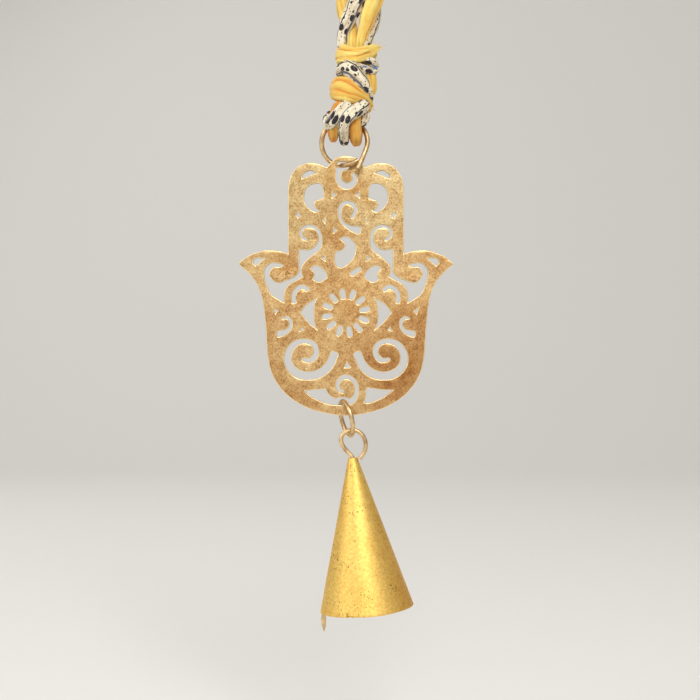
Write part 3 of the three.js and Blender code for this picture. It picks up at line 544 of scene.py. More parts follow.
knot_strips = {
    "knot_heart": (
        [(2.2, -1.0, 0.5), (2.8, -0.6, 5), (3.6, -0.4, 11), (4.4, 0, 17), (5.0, 0, 22), (5.6, 0, 26)],
        [7.5, 9.5, 9.5, 9.0, 8.6, 7.0],
        0.9,
        [(0, 20, -0.6, 10), (60, 90, -0.5, 12), (-70, -50, -0.5, 12), (160, 180, -0.5, 12)],
        yellow_cotton,
        "yellow_cloth",
    ),
    "knot_wrap_yellow_lower": (
        [(4.0, 6.4, 7.5), (-0.8, 5.4, 9.8), (-3.3, 1.8, 10.9), (-3.5, -2.4, 10.6), (-1.7, -5.6, 9.9)]
        + [(1.9, -6.9, 8.9), (6.1, -5.9, 6.9), (8.7, -2.4, 5.4), (8.7, 2.4, 5.2), (5.2, 6.0, 6.4)]
        + [(0.4, 5.6, 9.0)],
        [4.0, 6.0, 6.8, 7.4, 8.2, 8.0, 6.2, 4.4, 4.4, 5.0, 4.0],
        0.42,
        [(-35, -15, -0.55, 7), (8, 30, -0.5, 6), (40, 55, 0.35, 40), (-60, -50, -0.3, 8)],
        yellow_cotton,
        "yellow_cloth",
    ),
    "knot_wrap_print": (
        [(4.0, 6.2, 11.5), (0.4, 5.6, 15.0), (-1.9, 2.2, 17.2), (-1.9, -2.6, 17.0), (0.4, -5.8, 17.2)]
        + [(2.9, -7.1, 15.7), (5.6, -7.3, 12.7), (7.9, -5.6, 9.7), (9.3, -2.0, 7.6), (8.6, 3.0, 8.0)]
        + [(4.4, 6.2, 11.0)],
        [3.4, 3.6, 3.9, 4.4, 5.8, 6.0, 5.0, 4.0, 3.2, 3.2, 3.0],
        0.42,
        [(-30, -20, 0.3, 40), (25, 45, -0.35, 7), (-70, -60, -0.3, 8)],
        printed_cotton,
        "printed_cloth",
    ),
    "knot_wrap_yellow_upper": (
        [(4.6, 5.8, 21.4), (0.2, 4.6, 22.0), (-1.7, 0.8, 22.6), (-1.0, -3.6, 22.3), (1.4, -5.8, 21.4)]
        + [(4.2, -6.4, 21.2), (7.0, -5.8, 22.0), (9.6, -3.8, 23.0), (10.4, 0.2, 22.8), (8.6, 4.0, 22.0)]
        + [(4.0, 5.8, 21.6)],
        [3.6, 5.4, 6.6, 6.8, 6.0, 5.2, 4.8, 4.2, 4.2, 4.4, 3.6],
        0.45,
        [(-75, 60, -0.55, 6), (70, -40, -0.45, 5), (30, 75, 0.3, 40), (-100, 0, -0.35, 7)],
        yellow_cotton,
        "yellow_cloth",
    ),
    "knot_print_fold": (
        [(5.4, -3.4, 20.0), (7.8, -5.2, 19.7), (10.0, -4.4, 19.2), (11.3, -2.6, 17.9), (10.4, -4.4, 16.4)]
        + [(8.0, -6.0, 16.3), (5.4, -6.4, 16.9), (3.4, -5.2, 17.4)],
        [1.6, 2.0, 2.6, 2.6, 2.8, 3.0, 2.8, 2.4],
        0.6,
        [(10, 20, -0.3, 8), (-50, -40, 0.2, 40)],
        printed_cotton,
        "printed_cloth",
    ),
    "hitch_print_fold": (
        [(6.4, -4.6, 3.6), (7.6, -5.2, 1.4), (7.5, -5.6, -0.6), (6.2, -6.0, -2.4), (5.2, -5.2, -3.0)],
        [2.2, 2.6, 2.6, 2.4, 2.0],
        0.6,
        [(10, 20, -0.25, 8)],
        printed_cotton,
        "printed_cloth",
    ),
    "knot_torn_corner": (
        [(7.8, -5.6, 22.4), (9.6, -5.0, 23.2), (11.2, -4.4, 23.9), (12.3, -3.9, 24.3)],
        [3.6, 3.8, 2.8, 1.3],
        0.2,
        [(10, 20, -0.2, 8)],
        yellow_cotton,
        "yellow_cloth",
    ),
    "knot_yellow_strand": (
        [(7.4, -3.0, 18.0), (8.8, -3.6, 14.4), (9.2, -3.4, 11.0), (8.6, -2.8, 7.6)],
        [4.2, 5.2, 5.2, 4.4],
        0.7,
        [(-20, 10, -0.4, 8), (40, 50, -0.4, 8)],
        yellow_cotton,
        "yellow_cloth",
    ),
}
palest_turns = ("knot_wrap_yellow_upper", "knot_torn_corner")
palest_shade = 0.24
turn_shade = 0.4
blue_fold_share = 0.75
for number, (name, (route, widths, flatness, folds, cotton, finish)) in enumerate(knot_strips.items()):
    side_of = to_viewer if name == "knot_heart" else from_knot
    blue = blue_fold_share if name == "knot_print_fold" else 0.0
    shade = palest_shade if name in palest_turns else turn_shade
    turn = cloth_strip(f"{name}_cloth", route, widths, flatness, side_of, folds, 21.0 + number, shade, blue)
    turn.data.materials.append(cotton)
    if name in frame["nodes"]:
        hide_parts(name)

# Loose threads: the strips are torn, not cut, so single yellow cotton threads stand out where the cloth's
# ends and edges show. Each is still woven in at its root.
thread_thickness = 0.14
thread_steps = 7
thread_places = (
    ((12.2, -4.0, 24.6), (1.5, -0.3, 0.9)),
    ((12.3, -4.0, 24.2), (1.7, -0.2, 0.1)),
    ((12.1, -4.1, 23.9), (1.3, -0.4, -0.5)),
    ((11.4, -4.6, 25.0), (0.7, -0.4, 1.4)),
    ((10.4, -5.0, 24.9), (0.2, -0.5, 1.2)),
    ((9.0, -2.6, 3.6), (1.0, -0.5, -1.3)),
    ((9.4, -2.2, 4.2), (1.4, -0.3, -0.6)),
    ((-3.9, -3.6, 7.0), (-1.0, -0.6, -0.8)),
)
bpy.ops.object.select_all(action="DESELECT")
bpy.ops.curve.primitive_nurbs_path_add()
threads = bpy.context.object
threads.name = "loose_threads"
threads.data.splines.clear()
for number, (root, reach) in enumerate(thread_places):
    spline = threads.data.splines.new("POLY")
    spline.points.add(thread_steps)
    for i, place in enumerate(spline.points):
        share = i / thread_steps
        curl = 0.5 * share * math.sin(2.6 * share + 1.9 * number)
        point = Vector(root) + share * Vector(reach) + curl * Vector((reach[2], 0.5, -reach[0]))
        place.co = (*(ring_top + MM * point), 1)
threads.location = (0, 0, 0)
threads.data.dimensions = "3D"
threads.data.bevel_depth = thread_thickness * MM / 2
threads.data.bevel_resolution = 1
threads.data.use_fill_caps = True
bpy.ops.object.convert(target="MESH")
threads = bpy.context.object
bpy.ops.object.shade_smooth()
thread_colour, tree, shader = new_material("yellow_cotton_thread", 0.9)
place = add_node(tree, "TexCoord", {})
fibre = add_node(tree, "TexNoise", {"Scale": 1 / (0.4 * MM)}, [("Vector", place.outputs["Object"])])
fibre_colour = add_node(tree, "ValToRGB", {}, [("Fac", fibre.outputs["Fac"])])
fibre_colour.color_ramp.elements[0].color = linear("#E3A94A")
fibre_colour.color_ramp.elements[1].color = linear("#FCE08A")
tree.links.new(fibre_colour.outputs["Color"], shader.inputs["Base Color"])
threads.data.materials.append(thread_colour)
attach(threads, "cord")

# Top knot: the four strands of both cloths are knotted again under the hanging loop, in two turns pulled
# tight over the bunch.
top_foot = Vector((6.4, 0, 46))


def from_top_knot(point):
    """The side of the top knot's turns that faces away from its axis."""
    return Vector((point.x - top_foot.x, point.y, 0))


def top_turn(height, radius, tilt):
    """One turn of the top knot, from back to back."""
    points = []
    count = 18
    for i in range(count + 1):
        angle = math.radians(100 + 370 * i / count)
        x = radius * math.cos(angle)
        z = height - x * math.tan(math.radians(tilt))
        points.append((top_foot.x + x, radius * math.sin(angle), top_foot.z + z))
    return points


top_turns = (
    ("top_knot_yellow_turn", top_turn(3.4, 6.2, 14), 6.4, yellow_cotton, "yellow_cloth"),
    ("top_knot_print_turn", top_turn(8.2, 6.0, -12), 5.8, printed_cotton, "printed_cloth"),
)
band_folds = [(-42, -20, -0.5, 7), (10, 28, -0.45, 7), (48, 40, 0.35, 40)]
for number, (name, route, width, cotton, finish) in enumerate(top_turns):
    turn = cloth_strip(name, route, [width] * len(route), 0.42, from_top_knot, band_folds, 31.0 + number)
    turn.data.materials.append(cotton)
    if number == 0:
        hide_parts("top_knot")

# Strands and hanging loop: each strip runs up out of the knot, through the top knot, over the hook and back
# down again, so the plait shows two strands of each cloth. The two strips lie front and back in the loop.
loop_foot = 57.9
loop_crown = 97.7
loop_half = [(3.2, 0), (3.3, 0.05), (4.6, 0.18), (8.6, 0.44), (9.6, 0.68), (7.4, 0.88), (3.6, 0.98)]


def loop_route(depth, first_side):
    """Over the hook from one foot of the hanging loop to the other."""
    rise = loop_crown - loop_foot
    half = [(first_side * x, loop_foot + share * rise) for x, share in loop_half]
    up = [(top_foot.x + x, depth, z) for x, z in half]
    down = [(top_foot.x - x, depth, z) for x, z in reversed(half)]
    return [*up, (top_foot.x, depth, loop_crown), *down]


yellow_route = [
    *[(5.4, -2.2, 22), (5.7, -3.2, 25), (6.2, -3.8, 28.2), (8.0, -4.2, 34.4), (10.4, -3.8, 41.0)],
    *[(11.4, -3.0, 45.5), (10.8, -2.6, 52)],
    *loop_route(-2.4, 1),
    *[(2.4, -1.2, 52.5), (0.3, 1.2, 47.5), (-0.3, 1.6, 43)],
    *[(0, 1.9, 38), (1.6, 0.6, 33), (2.6, -1.5, 29), (2.7, -2.4, 25.5), (2.8, -1.8, 22)],
]
print_route = [
    *[(-0.2, -1.4, 22), (-0.8, -2.4, 25), (-0.6, -3.2, 28.6), (1.8, -3.8, 35), (4.8, -3.4, 41.2)],
    *[(5.8, -2.8, 45.5), (4.4, 0.4, 52)],
    *loop_route(2.4, -1),
    *[(10.2, 2.8, 52.5), (10.2, 3, 48), (10.0, 2.8, 43)],
    *[(10.2, 2.0, 38), (9.6, 0.2, 33.2), (8.2, -1.6, 29.2), (7.2, -2.2, 25.6), (6.6, -1.6, 22)],
]
loop_width = 4.5
strips = (
    ("yellow_strip", yellow_route, yellow_cotton, "yellow_cloth", 41.0),
    ("printed_strip", print_route, printed_cotton, "printed_cloth", 43.0),
)
replaced = {
    "yellow_strip": ("plait_yellow_right", "plait_yellow_left", "hanging_loop_yellow"),
    "printed_strip": ("plait_print_left", "plait_print_right", "hanging_loop_print"),
}
strand_folds = [(50, 90, -0.4, 10), (-60, 0, 0.35, 45), (160, 230, -0.34, 15), (-20, 30, -0.25, 8)]
for name, route, cotton, finish, seed in strips:
    widths = [3.2, 3.4, 3.8, 5.5, 6.2, 5.6, 5.0]
    widths += [loop_width] * (len(route) - 15)
    widths += [4.8, 5.0, 5.2, 5.4, 5.2, 4.6, 4.2, 3.6]
    strip = cloth_strip(name, route, widths, 0.86, to_viewer, strand_folds, seed)
    strip.data.materials.append(cotton)
    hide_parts(*replaced[name])
    line_length(route)
    [ring_top + MM * point for point, _ in smooth_line(route, cloth_step)]

# Top ring: one length of gilt wire bent round until its ends pass each other. It goes over the cloth's lobes,
# behind the hand and forward through the slot under its top edge.
wire_bevel_steps = 6
wire_step = 0.35


def bent_wire(name, points, diameter, body):
    """A round wire along points in millimetres, with its cut ends eased."""
    bpy.ops.object.select_all(action="DESELECT")
    bpy.ops.curve.primitive_nurbs_path_add()
    wire = bpy.context.object
    wire.name = name
    curve = wire.data
    curve.splines.clear()
    spline = curve.splines.new("POLY")
    line = [point for point, _ in smooth_line(points, wire_step)]
    spline.points.add(len(line) - 1)
    for place, point in zip(spline.points, line):
        place.co = (*(point * MM), 1)
    wire.location = (0, 0, 0)
    curve.dimensions = "3D"
    curve.bevel_depth = diameter * MM / 2
    curve.bevel_resolution = wire_bevel_steps
    curve.use_fill_caps = True
    bpy.ops.object.convert(target="MESH")
    wire = bpy.context.object
    bpy.ops.object.mode_set(mode="EDIT")
    bpy.ops.mesh.select_all(action="SELECT")
    bpy.ops.mesh.remove_doubles(threshold=0.001 * MM)
    bpy.ops.mesh.normals_make_consistent(inside=False)
    bpy.ops.object.mode_set(mode="OBJECT")
    ease = wire.modifiers.new("eased_ends", "BEVEL")
    ease.limit_method = "ANGLE"
    ease.angle_limit = math.radians(60)
    ease.width = 0.12 * diameter * MM
    ease.segments = 2
    bpy.ops.object.modifier_apply(modifier=ease.name)
    bpy.ops.object.shade_smooth_by_angle(angle=math.radians(40))
    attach(wire, body)
    return wire


ring_wire = 1.7
ring_outside = 17.7
ring_radius = (ring_outside - ring_wire) / 2
clear_depth = 2.1
ring_turns = [(118, -2.1), (90, -1.4), (60, -0.7), (30, -0.25), (0, 0), (-30, 0.05), (-60, 0.2), (-90, 0.6)]
ring_turns += [(-120, 1.3), (-146, 1.5), (-162, 1), (-174, 0), (-186, -1.05), (-202, -1.5), (-216, -1.45)]
ring_route = [(0.575 * ring_radius, -2.45 * clear_depth, -2.21 * ring_radius)]
for turn, depth in ring_turns:
    angle = math.radians(turn)
    ring_route.append(
        (ring_radius * math.sin(angle), depth * clear_depth, ring_radius * (math.cos(angle) - 1))
    )
ring_route = [Vector(point) + ring_top / MM for point in ring_route]
top_ring = bent_wire("gilt_top_ring", ring_route, ring_wire, "ring")
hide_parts("top_ring")

# Gilt wire: brass wire with a thin gilt wash, rubbed and browned by handling. Soft highlights, with brown
# drawn out along the wire.
gilt_wire, tree, shader = new_material("browned_gilt_wire", 0.4, 1.0)
place = add_node(tree, "TexCoord", {})
handling = add_node(
    tree,
    "TexNoise",
    {"Scale": 1 / (2.4 * MM), "Detail": 4},
    [("Vector", place.outputs["Object"])],
)
browning = add_node(tree, "ValToRGB", {}, [("Fac", handling.outputs["Fac"])])
browning.color_ramp.elements[0].position = 0.35
browning.color_ramp.elements[0].color = linear("#B9956A")
browning.color_ramp.elements[1].position = 0.65
browning.color_ramp.elements[1].color = linear("#EED29D")
tree.links.new(browning.outputs["Color"], shader.inputs["Base Color"])
scuffs = add_node(
    tree,
    "TexNoise",
    {"Scale": 1 / (0.5 * MM), "Detail": 5},
    [("Vector", place.outputs["Object"])],
)
scuff_bump = add_node(
    tree, "Bump", {"Strength": 0.4, "Distance": 0.06 * MM}, [("Height", scuffs.outputs["Fac"])]
)
tree.links.new(scuff_bump.outputs["Normal"], shader.inputs["Normal"])
top_ring.data.materials.append(gilt_wire)

# Hand: sawn from 1.5 mm sheet, its openings cut through, then gilded and antiqued. The edges are rounded,
# rubbed bright and painted paler still as a highlight, and the dark wash stays in the openings' walls. Its
# outlines are the frame's own, eased.
edge_radius = 0.24
corner_turn = math.radians(50)
outline_step = 0.4
hand_node = frame["nodes"]["hamsa_plate"]
sheet = bmesh.new()
sheet.from_mesh(hand_node.data)
bmesh.ops.remove_doubles(sheet, verts=sheet.verts, dist=0.002 * MM)
front_half = max(vertex.co.y for vertex in sheet.verts) / MM
after = {}
for face in sheet.faces:
    if face.normal.y < -0.5:
        for corner in face.loops:
            if abs(corner.link_loop_radial_next.face.normal.y) < 0.5:
                after[corner.vert] = corner.link_loop_next.vert
outlines = []
while after:
    start = next(iter(after))
    outline = [start]
    step = after.pop(start)
    while step != start:
        outline.append(step)
        step = after.pop(step)
    outlines.append([Vector((vertex.co.x, vertex.co.z, 0)) / MM for vertex in outline])


def eased_outline(points):
    """A closed outline on smooth curves between its corners."""
    count = len(points)
    corners = []
    for i, point in enumerate(points):
        come, leave = point - points[i - 1], points[(i + 1) % count] - point
        if come.angle(leave) > corner_turn:
            corners.append(i)
    if not corners:
        lapped = [points[(i - 2) % count] for i in range(count + 5)]
        return [point for point, place in smooth_line(lapped, outline_step) if 2 <= place < count + 2]
    eased = []
    for first, last in zip(corners, [*corners[1:], corners[0] + count]):
        run = [points[i % count] for i in range(first, last + 1)]
        eased += [point for point, _ in smooth_line(run, outline_step)][:-1]
    return eased


bpy.ops.object.select_all(action="DESELECT")
bpy.ops.curve.primitive_bezier_circle_add(rotation=(math.radians(90), 0, 0))
hand = bpy.context.object
hand.name = "gilt_hamsa_hand"
curve = hand.data
curve.splines.clear()
for outline in outlines:
    eased = eased_outline(outline)
    spline = curve.splines.new("POLY")
    spline.points.add(len(eased) - 1)
    for place, point in zip(spline.points, eased):
        place.co = (*(point * MM), 1)
    spline.use_cyclic_u = True
curve.dimensions = "2D"
curve.fill_mode = "BOTH"
curve.extrude = (front_half - edge_radius) * MM
curve.bevel_depth = edge_radius * MM
curve.bevel_resolution = 2
curve.offset = -edge_radius * MM
bpy.ops.object.convert(target="MESH")
bpy.ops.object.transform_apply(location=True, rotation=True, scale=True)
hand = bpy.context.object
bpy.ops.object.mode_set(mode="EDIT")
bpy.ops.mesh.select_all(action="SELECT")
bpy.ops.mesh.remove_doubles(threshold=0.001 * MM)
bpy.ops.mesh.normals_make_consistent(inside=False)
bpy.ops.object.mode_set(mode="OBJECT")

# Antique gilding on sheet: pale gold under a brown wash that was wiped off again, so a fine mottle stays in
# clouds, faintly scratched one way, greyer on the fingers as painted cool light from above, and browner
# towards the lower right.
gilt_face, tree, shader = new_material("antique_gilding", 0.38, 1.0)
place = add_node(tree, "TexCoord", {})
mottle = add_node(
    tree,
    "TexNoise",
    {"Scale": 1 / (0.6 * MM), "Detail": 6, "Roughness": 0.7},
    [("Vector", place.outputs["Object"])],
)
cloud = add_node(
    tree,
    "TexNoise",
    {"Scale": 1 / (3 * MM), "Detail": 5},
    [("Vector", place.outputs["Object"])],
)
wiped = add_node(
    tree, "Mix", {"data_type": "FLOAT", 0: 0.3}, [(2, mottle.outputs["Fac"]), (3, cloud.outputs["Fac"])]
)
patina = add_node(tree, "ValToRGB", {}, [("Fac", wiped.outputs[0])])
patina.color_ramp.elements[0].position = 0.38
patina.color_ramp.elements[0].color = linear("#A67C4E")
patina.color_ramp.elements[1].position = 0.6
patina.color_ramp.elements[1].color = linear("#E8CA93")
middle_patina = patina.color_ramp.elements.new(0.48)
middle_patina.color = linear("#D2A870")
wear = add_node(
    tree,
    "TexNoise",
    {"Scale": 1 / (14 * MM), "Detail": 4},
    [("Vector", place.outputs["Object"])],
)
wear_range = add_node(
    tree,
    "MapRange",
    {"From Min": 0.42, "From Max": 0.72, "To Min": 0.0, "To Max": 0.75},
    [("Value", wear.outputs["Fac"])],
)
antiqued = add_node(
    tree,
    "Mix",
    {"data_type": "RGBA", "blend_type": "MULTIPLY", 7: linear("#D9B78E")},
    [(0, wear_range.outputs["Result"]), (6, patina.outputs["Color"])],
)
hand_axes = add_node(tree, "SeparateXYZ", {}, [("Vector", place.outputs["Object"])])
# Painted light: greyer and cooler towards the fingers at the top, as light falling from above.
painted_top_light_share = add_node(
    tree,
    "MapRange",
    {"From Min": -152 * MM, "From Max": -128 * MM, "To Min": 0.0, "To Max": 0.8},
    [("Value", hand_axes.outputs["Z"])],
)
painted_top_light = add_node(
    tree,
    "Mix",
    {"data_type": "RGBA", "blend_type": "MULTIPLY", 7: linear("#E8F6FF")},
    [(0, painted_top_light_share.outputs["Result"]), (6, antiqued.outputs[2])],
)
# Browner towards the lower right of the hand.
browner_place = (17, -front_half, -180)
browner_reach = 24
from_browner = add_node(
    tree,
    "VectorMath",
    {"operation": "DISTANCE", 1: [c * MM for c in browner_place]},
    [(0, place.outputs["Object"])],
)
browner_share = add_node(
    tree,
    "MapRange",
    {"From Min": 0.0, "From Max": browner_reach * MM, "To Min": 0.8, "To Max": 0.0},
    [("Value", from_browner.outputs["Value"])],
)
with_brown = add_node(
    tree,
    "Mix",
    {"data_type": "RGBA", "blend_type": "MULTIPLY", 7: linear("#C9A277")},
    [(0, browner_share.outputs["Result"]), (6, painted_top_light.outputs[2])],
)
brushed = add_node(
    tree, "Mapping", {"Scale": (1 / (3.0 * MM), 1, 1 / (0.25 * MM))}, [("Vector", place.outputs["Object"])]
)
grain = add_node(tree, "TexNoise", {"Scale": 1.0, "Detail": 3}, [("Vector", brushed.outputs["Vector"])])
grain_bump = add_node(
    tree,
    "Bump",
    {"Strength": 0.3, "Distance": 0.05 * MM},
    [("Height", grain.outputs["Fac"])],
)
mottle_bump = add_node(
    tree,
    "Bump",
    {"Strength": 0.7, "Distance": 0.06 * MM},
    [("Height", wiped.outputs[0]), ("Normal", grain_bump.outputs["Normal"])],
)

# File marks: where the saw left burrs under the curls they were dressed with a coarse file, which left low
# facets and brown pits. The facets' pale glints are painted highlights. The places are millimetres in the
# hand's plane.
file_reach = 3.6
facet_size = 1.1
file_marks = None
file_places = [(-29.3, -150), (-25.2, -149.2), (17.2, -152), (-19.3, -182), (-15, -180.2)]
file_places += [(8.6, -182.6), (-11, -189.8), (11, -194)]
for x, z in file_places:
    away = add_node(
        tree,
        "VectorMath",
        {"operation": "DISTANCE", 1: (x * MM, -front_half * MM, z * MM)},
        [(0, place.outputs["Object"])],
    )
    near = add_node(
        tree,
        "MapRange",
        {"From Min": 0.3 * file_reach * MM, "From Max": file_reach * MM, "To Min": 1.0, "To Max": 0.0},
        [("Value", away.outputs["Value"])],
    )
    if file_marks is None:
        file_marks = near.outputs["Result"]
    else:
        both = add_node(
            tree,
            "Math",
            {"operation": "MAXIMUM"},
            [(0, file_marks), (1, near.outputs["Result"])],
        )
        file_marks = both.outputs["Value"]
facets = add_node(
    tree,
    "TexNoise",
    {"Scale": 1 / (facet_size * MM), "Detail": 2, "Distortion": 1.2},
    [("Vector", place.outputs["Object"])],
)
facet_lift = add_node(
    tree, "Math", {"operation": "MULTIPLY"}, [(0, facets.outputs["Fac"]), (1, file_marks)]
)
facet_bump = add_node(
    tree,
    "Bump",
    {"Strength": 0.6, "Distance": 0.23 * MM},
    [("Height", facet_lift.outputs["Value"]), ("Normal", mottle_bump.outputs["Normal"])],
)
tree.links.new(facet_bump.outputs["Normal"], shader.inputs["Normal"])
# Painted highlight: pale glints on the filed facets.
painted_glint_share = add_node(
    tree,
    "MapRange",
    {"From Min": 0.5, "From Max": 0.65, "To Min": 0.0, "To Max": 0.45},
    [("Value", facet_lift.outputs["Value"])],
)
painted_facet_glint = add_node(
    tree,
    "Mix",
    {"data_type": "RGBA", 7: linear("#F2DDAE")},
    [(0, painted_glint_share.outputs["Result"]), (6, with_brown.outputs[2])],
)
pit_size = add_node(
    tree,
    "MapRange",
    {"From Min": 0.38, "From Max": 0.46, "To Min": 0.65, "To Max": 0.0},
    [("Value", facets.outputs["Fac"])],
)
pit_share = add_node(
    tree,
    "Math",
    {"operation": "MULTIPLY"},
    [(0, pit_size.outputs["Result"]), (1, file_marks)],
)
filed = add_node(
    tree,
    "Mix",
    {"data_type": "RGBA", 7: linear("#8F6538")},
    [(0, pit_share.outputs["Value"]), (6, painted_facet_glint.outputs[2])],
)
tree.links.new(filed.outputs[2], shader.inputs["Base Color"])

# Rubbed edge: the same gilding, polished pale along every edge by wiping and painted paler still as a
# highlight where the edges catch the light. Sawn wall: the brown wash kept, with the gold showing through.
# Painted highlight: this edge colour is paler than the face, partly real rubbing and partly light caught
# along the edges.
rubbed_edge_and_highlight, tree, shader = new_material("rubbed_gilt_edge_and_highlight", 0.42, 1.0)
place = add_node(tree, "TexCoord", {})
rub = add_node(
    tree,
    "TexNoise",
    {"Scale": 1 / (1.6 * MM), "Detail": 3},
    [("Vector", place.outputs["Object"])],
)
rubbed = add_node(tree, "ValToRGB", {}, [("Fac", rub.outputs["Fac"])])
rubbed.color_ramp.elements[0].position = 0.3
rubbed.color_ramp.elements[0].color = linear("#EBCB90")
rubbed.color_ramp.elements[1].position = 0.6
rubbed.color_ramp.elements[1].color = linear("#FBE8B6")
tree.links.new(rubbed.outputs["Color"], shader.inputs["Base Color"])
dark_wall, tree, shader = new_material("washed_saw_cut", 0.6, 1.0)
place = add_node(tree, "TexCoord", {})
wash = add_node(
    tree,
    "TexNoise",
    {"Scale": 1 / (0.9 * MM), "Detail": 4},
    [("Vector", place.outputs["Object"])],
)
washed = add_node(tree, "ValToRGB", {}, [("Fac", wash.outputs["Fac"])])
washed.color_ramp.elements[0].position = 0.35
washed.color_ramp.elements[0].color = linear("#5E4426")
washed.color_ramp.elements[1].position = 0.65
washed.color_ramp.elements[1].color = linear("#9A7645")
tree.links.new(washed.outputs["Color"], shader.inputs["Base Color"])
for finish in (gilt_face, rubbed_edge_and_highlight, dark_wall):
    hand.data.materials.append(finish)
face_tilt = 0.97
wall_tilt = 0.1
for polygon in hand.data.polygons:
    tilt = abs(polygon.normal.y)
    polygon.material_index = 0 if tilt > face_tilt else 2 if tilt < wall_tilt else 1
bpy.ops.object.shade_smooth()
flat_faces = hand.modifiers.new("flat_faces", "WEIGHTED_NORMAL")
bpy.ops.object.modifier_apply(modifier=flat_faces.name)
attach(hand, "hand")
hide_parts("hamsa_plate")

# Link: an oval jump ring bent from the same gilt wire. It hangs through the gap over the hand's lower rim,
# and its ends meet in a seam at the back.
rim_top = pivot["link_swing"] / MM
link_wire = 1.6
link_length = 13.8
link_drop = link_length - link_wire
link_depth = 11.6
link_half_depth = (link_depth - link_wire) / 2
link_lean = math.radians(13.3)
link_turn = math.radians(21)
link_seam = 9
seam_place = 60
link_steps = 20
rim_gap = 0.5
link_top = rim_top + Vector((0, 0, rim_gap + link_wire / 2))
link_place = Matrix.Translation(link_top) @ Matrix.Rotation(-link_lean, 4, "Y")
link_place = link_place @ Matrix.Rotation(link_turn, 4, "Z")
link_route = []
for i in range(link_steps + 1):
    angle = math.radians(seam_place + link_seam / 2 + (360 - link_seam) * i / link_steps)
    point = Vector((0, link_half_depth * math.sin(angle), link_drop / 2 * (math.cos(angle) - 1)))
    link_route.append(link_place @ point)
link = bent_wire("gilt_link", link_route, link_wire, "link")
link.data.materials.append(gilt_wire)
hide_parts("link_ring")

# Bell eye: a loop of gilt wire that hangs in the link. Its long end goes down through the cone's tip and is
# bent into a hook that holds the clapper.
bell_top = pivot["bell_swing"] / MM
bell_tilt = math.radians(5.4)
bell_place = Matrix.Translation(bell_top) @ Matrix.Rotation(-bell_tilt, 4, "Y")
eye_wire = 1.5
eye_top = 1.85
cone_top = -7.8
cone_tip = 1.6
cone_height = 52.5
cone_mouth = 16.3
hook_drop = 11.5
hook_radius = 2.0
hang_gap = 0.3
hook_middle = cone_top - hook_drop
eye_width = 10
eye_side = (eye_width - eye_wire) / 2
eye_height = eye_top - cone_top
eye_route = []
for turn in range(-250, 1, 25):
    angle = math.radians(turn)
    eye_route.append((0, hook_radius * math.cos(angle), hook_middle + hook_radius * math.sin(angle)))
eye_route += [
    (0, 0.8 * hook_radius, hook_middle + 0.3 * hook_drop),
    (0, 0.15 * hook_radius, hook_middle + 0.65 * hook_drop),
    (0, 0, cone_top - eye_wire),
]
eye_shares = [(-0.05, 0.05), (-0.32, 0.2), (-0.66, 0.42), (-0.82, 0.66), (-0.58, 0.9), (0, 1)]
eye_shares += [(0.64, 0.93), (1.05, 0.71), (1.17, 0.46), (1.06, 0.22), (0.82, 0.06)]
eye_route += [(across * eye_side, 0, cone_top + up * eye_height) for across, up in eye_shares]
eye_route.append((cone_tip + hang_gap + eye_wire * math.sqrt(0.5) / 2, 0, cone_top - 0.4 * eye_wire))
bell_eye = bent_wire("gilt_bell_eye", [bell_place @ Vector(p) for p in eye_route], eye_wire, "bell")
bell_eye.data.materials.append(gilt_wire)
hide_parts("bell_eye_wire")

# Bell cone: cut from thin sheet and rolled until one edge laps the other, brazed and brushed gold. The lap
# shows as a low step at the left, and the mouth isn't quite even.
cone_wall = 0.5
lap_turn = math.radians(14)
lap_step = 0.45
lap_place = math.radians(216)
lap_corner = 0.9
around_count = 160
height_count = 60
edge_ease = 0.12
bpy.ops.object.select_all(action="DESELECT")
bpy.ops.mesh.primitive_grid_add(x_subdivisions=around_count, y_subdivisions=height_count, size=1)
cone = bpy.context.object
cone.name = "rolled_bell_cone"
for vertex in cone.data.vertices:
    across, up = vertex.co.x + 0.5, vertex.co.y + 0.5
    turn = across * (2 * math.pi + lap_turn)
    lap = max(0.0, (turn - 2 * math.pi) / lap_turn)
    under = max(0.0, 1 - turn / lap_turn)
    radius = cone_mouth + (cone_tip - cone_mouth) * up
    radius -= lap_step * under * min(1.0, (1 - up) * 6)
    dent = noise.noise(Vector((2.2 * math.cos(turn), 2.2 * math.sin(turn), 3.0 * up)))
    radius += 0.04 * dent * min(1.0, (1 - up) * 4)
    angle = lap_place - turn
    waver = 0.25 * noise.noise(Vector((1.4 * math.cos(turn), 1.4 * math.sin(turn), 9.0))) * (1 - up) ** 6
    waver += lap_corner * lap**2 * (1 - up) ** 10
    height = cone_top - cone_height * (1 - up) + waver
    place = Vector((radius * math.cos(angle), radius * math.sin(angle), height))
    vertex.co = (bell_place @ place) * MM
bpy.ops.object.mode_set(mode="EDIT")
bpy.ops.mesh.select_all(action="SELECT")
bpy.ops.mesh.flip_normals()
bpy.ops.object.mode_set(mode="OBJECT")
wall = cone.modifiers.new("sheet", "SOLIDIFY")
wall.thickness = cone_wall * MM
wall.offset = -1
bpy.ops.object.modifier_apply(modifier=wall.name)
eased = cone.modifiers.new("eased_edges", "BEVEL")
eased.limit_method = "ANGLE"
eased.angle_limit = math.radians(60)
eased.width = edge_ease * MM
eased.segments = 2
bpy.ops.object.modifier_apply(modifier=eased.name)
bpy.ops.object.shade_smooth_by_angle(angle=math.radians(40))
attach(cone, "bell")
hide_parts("bell_cone")

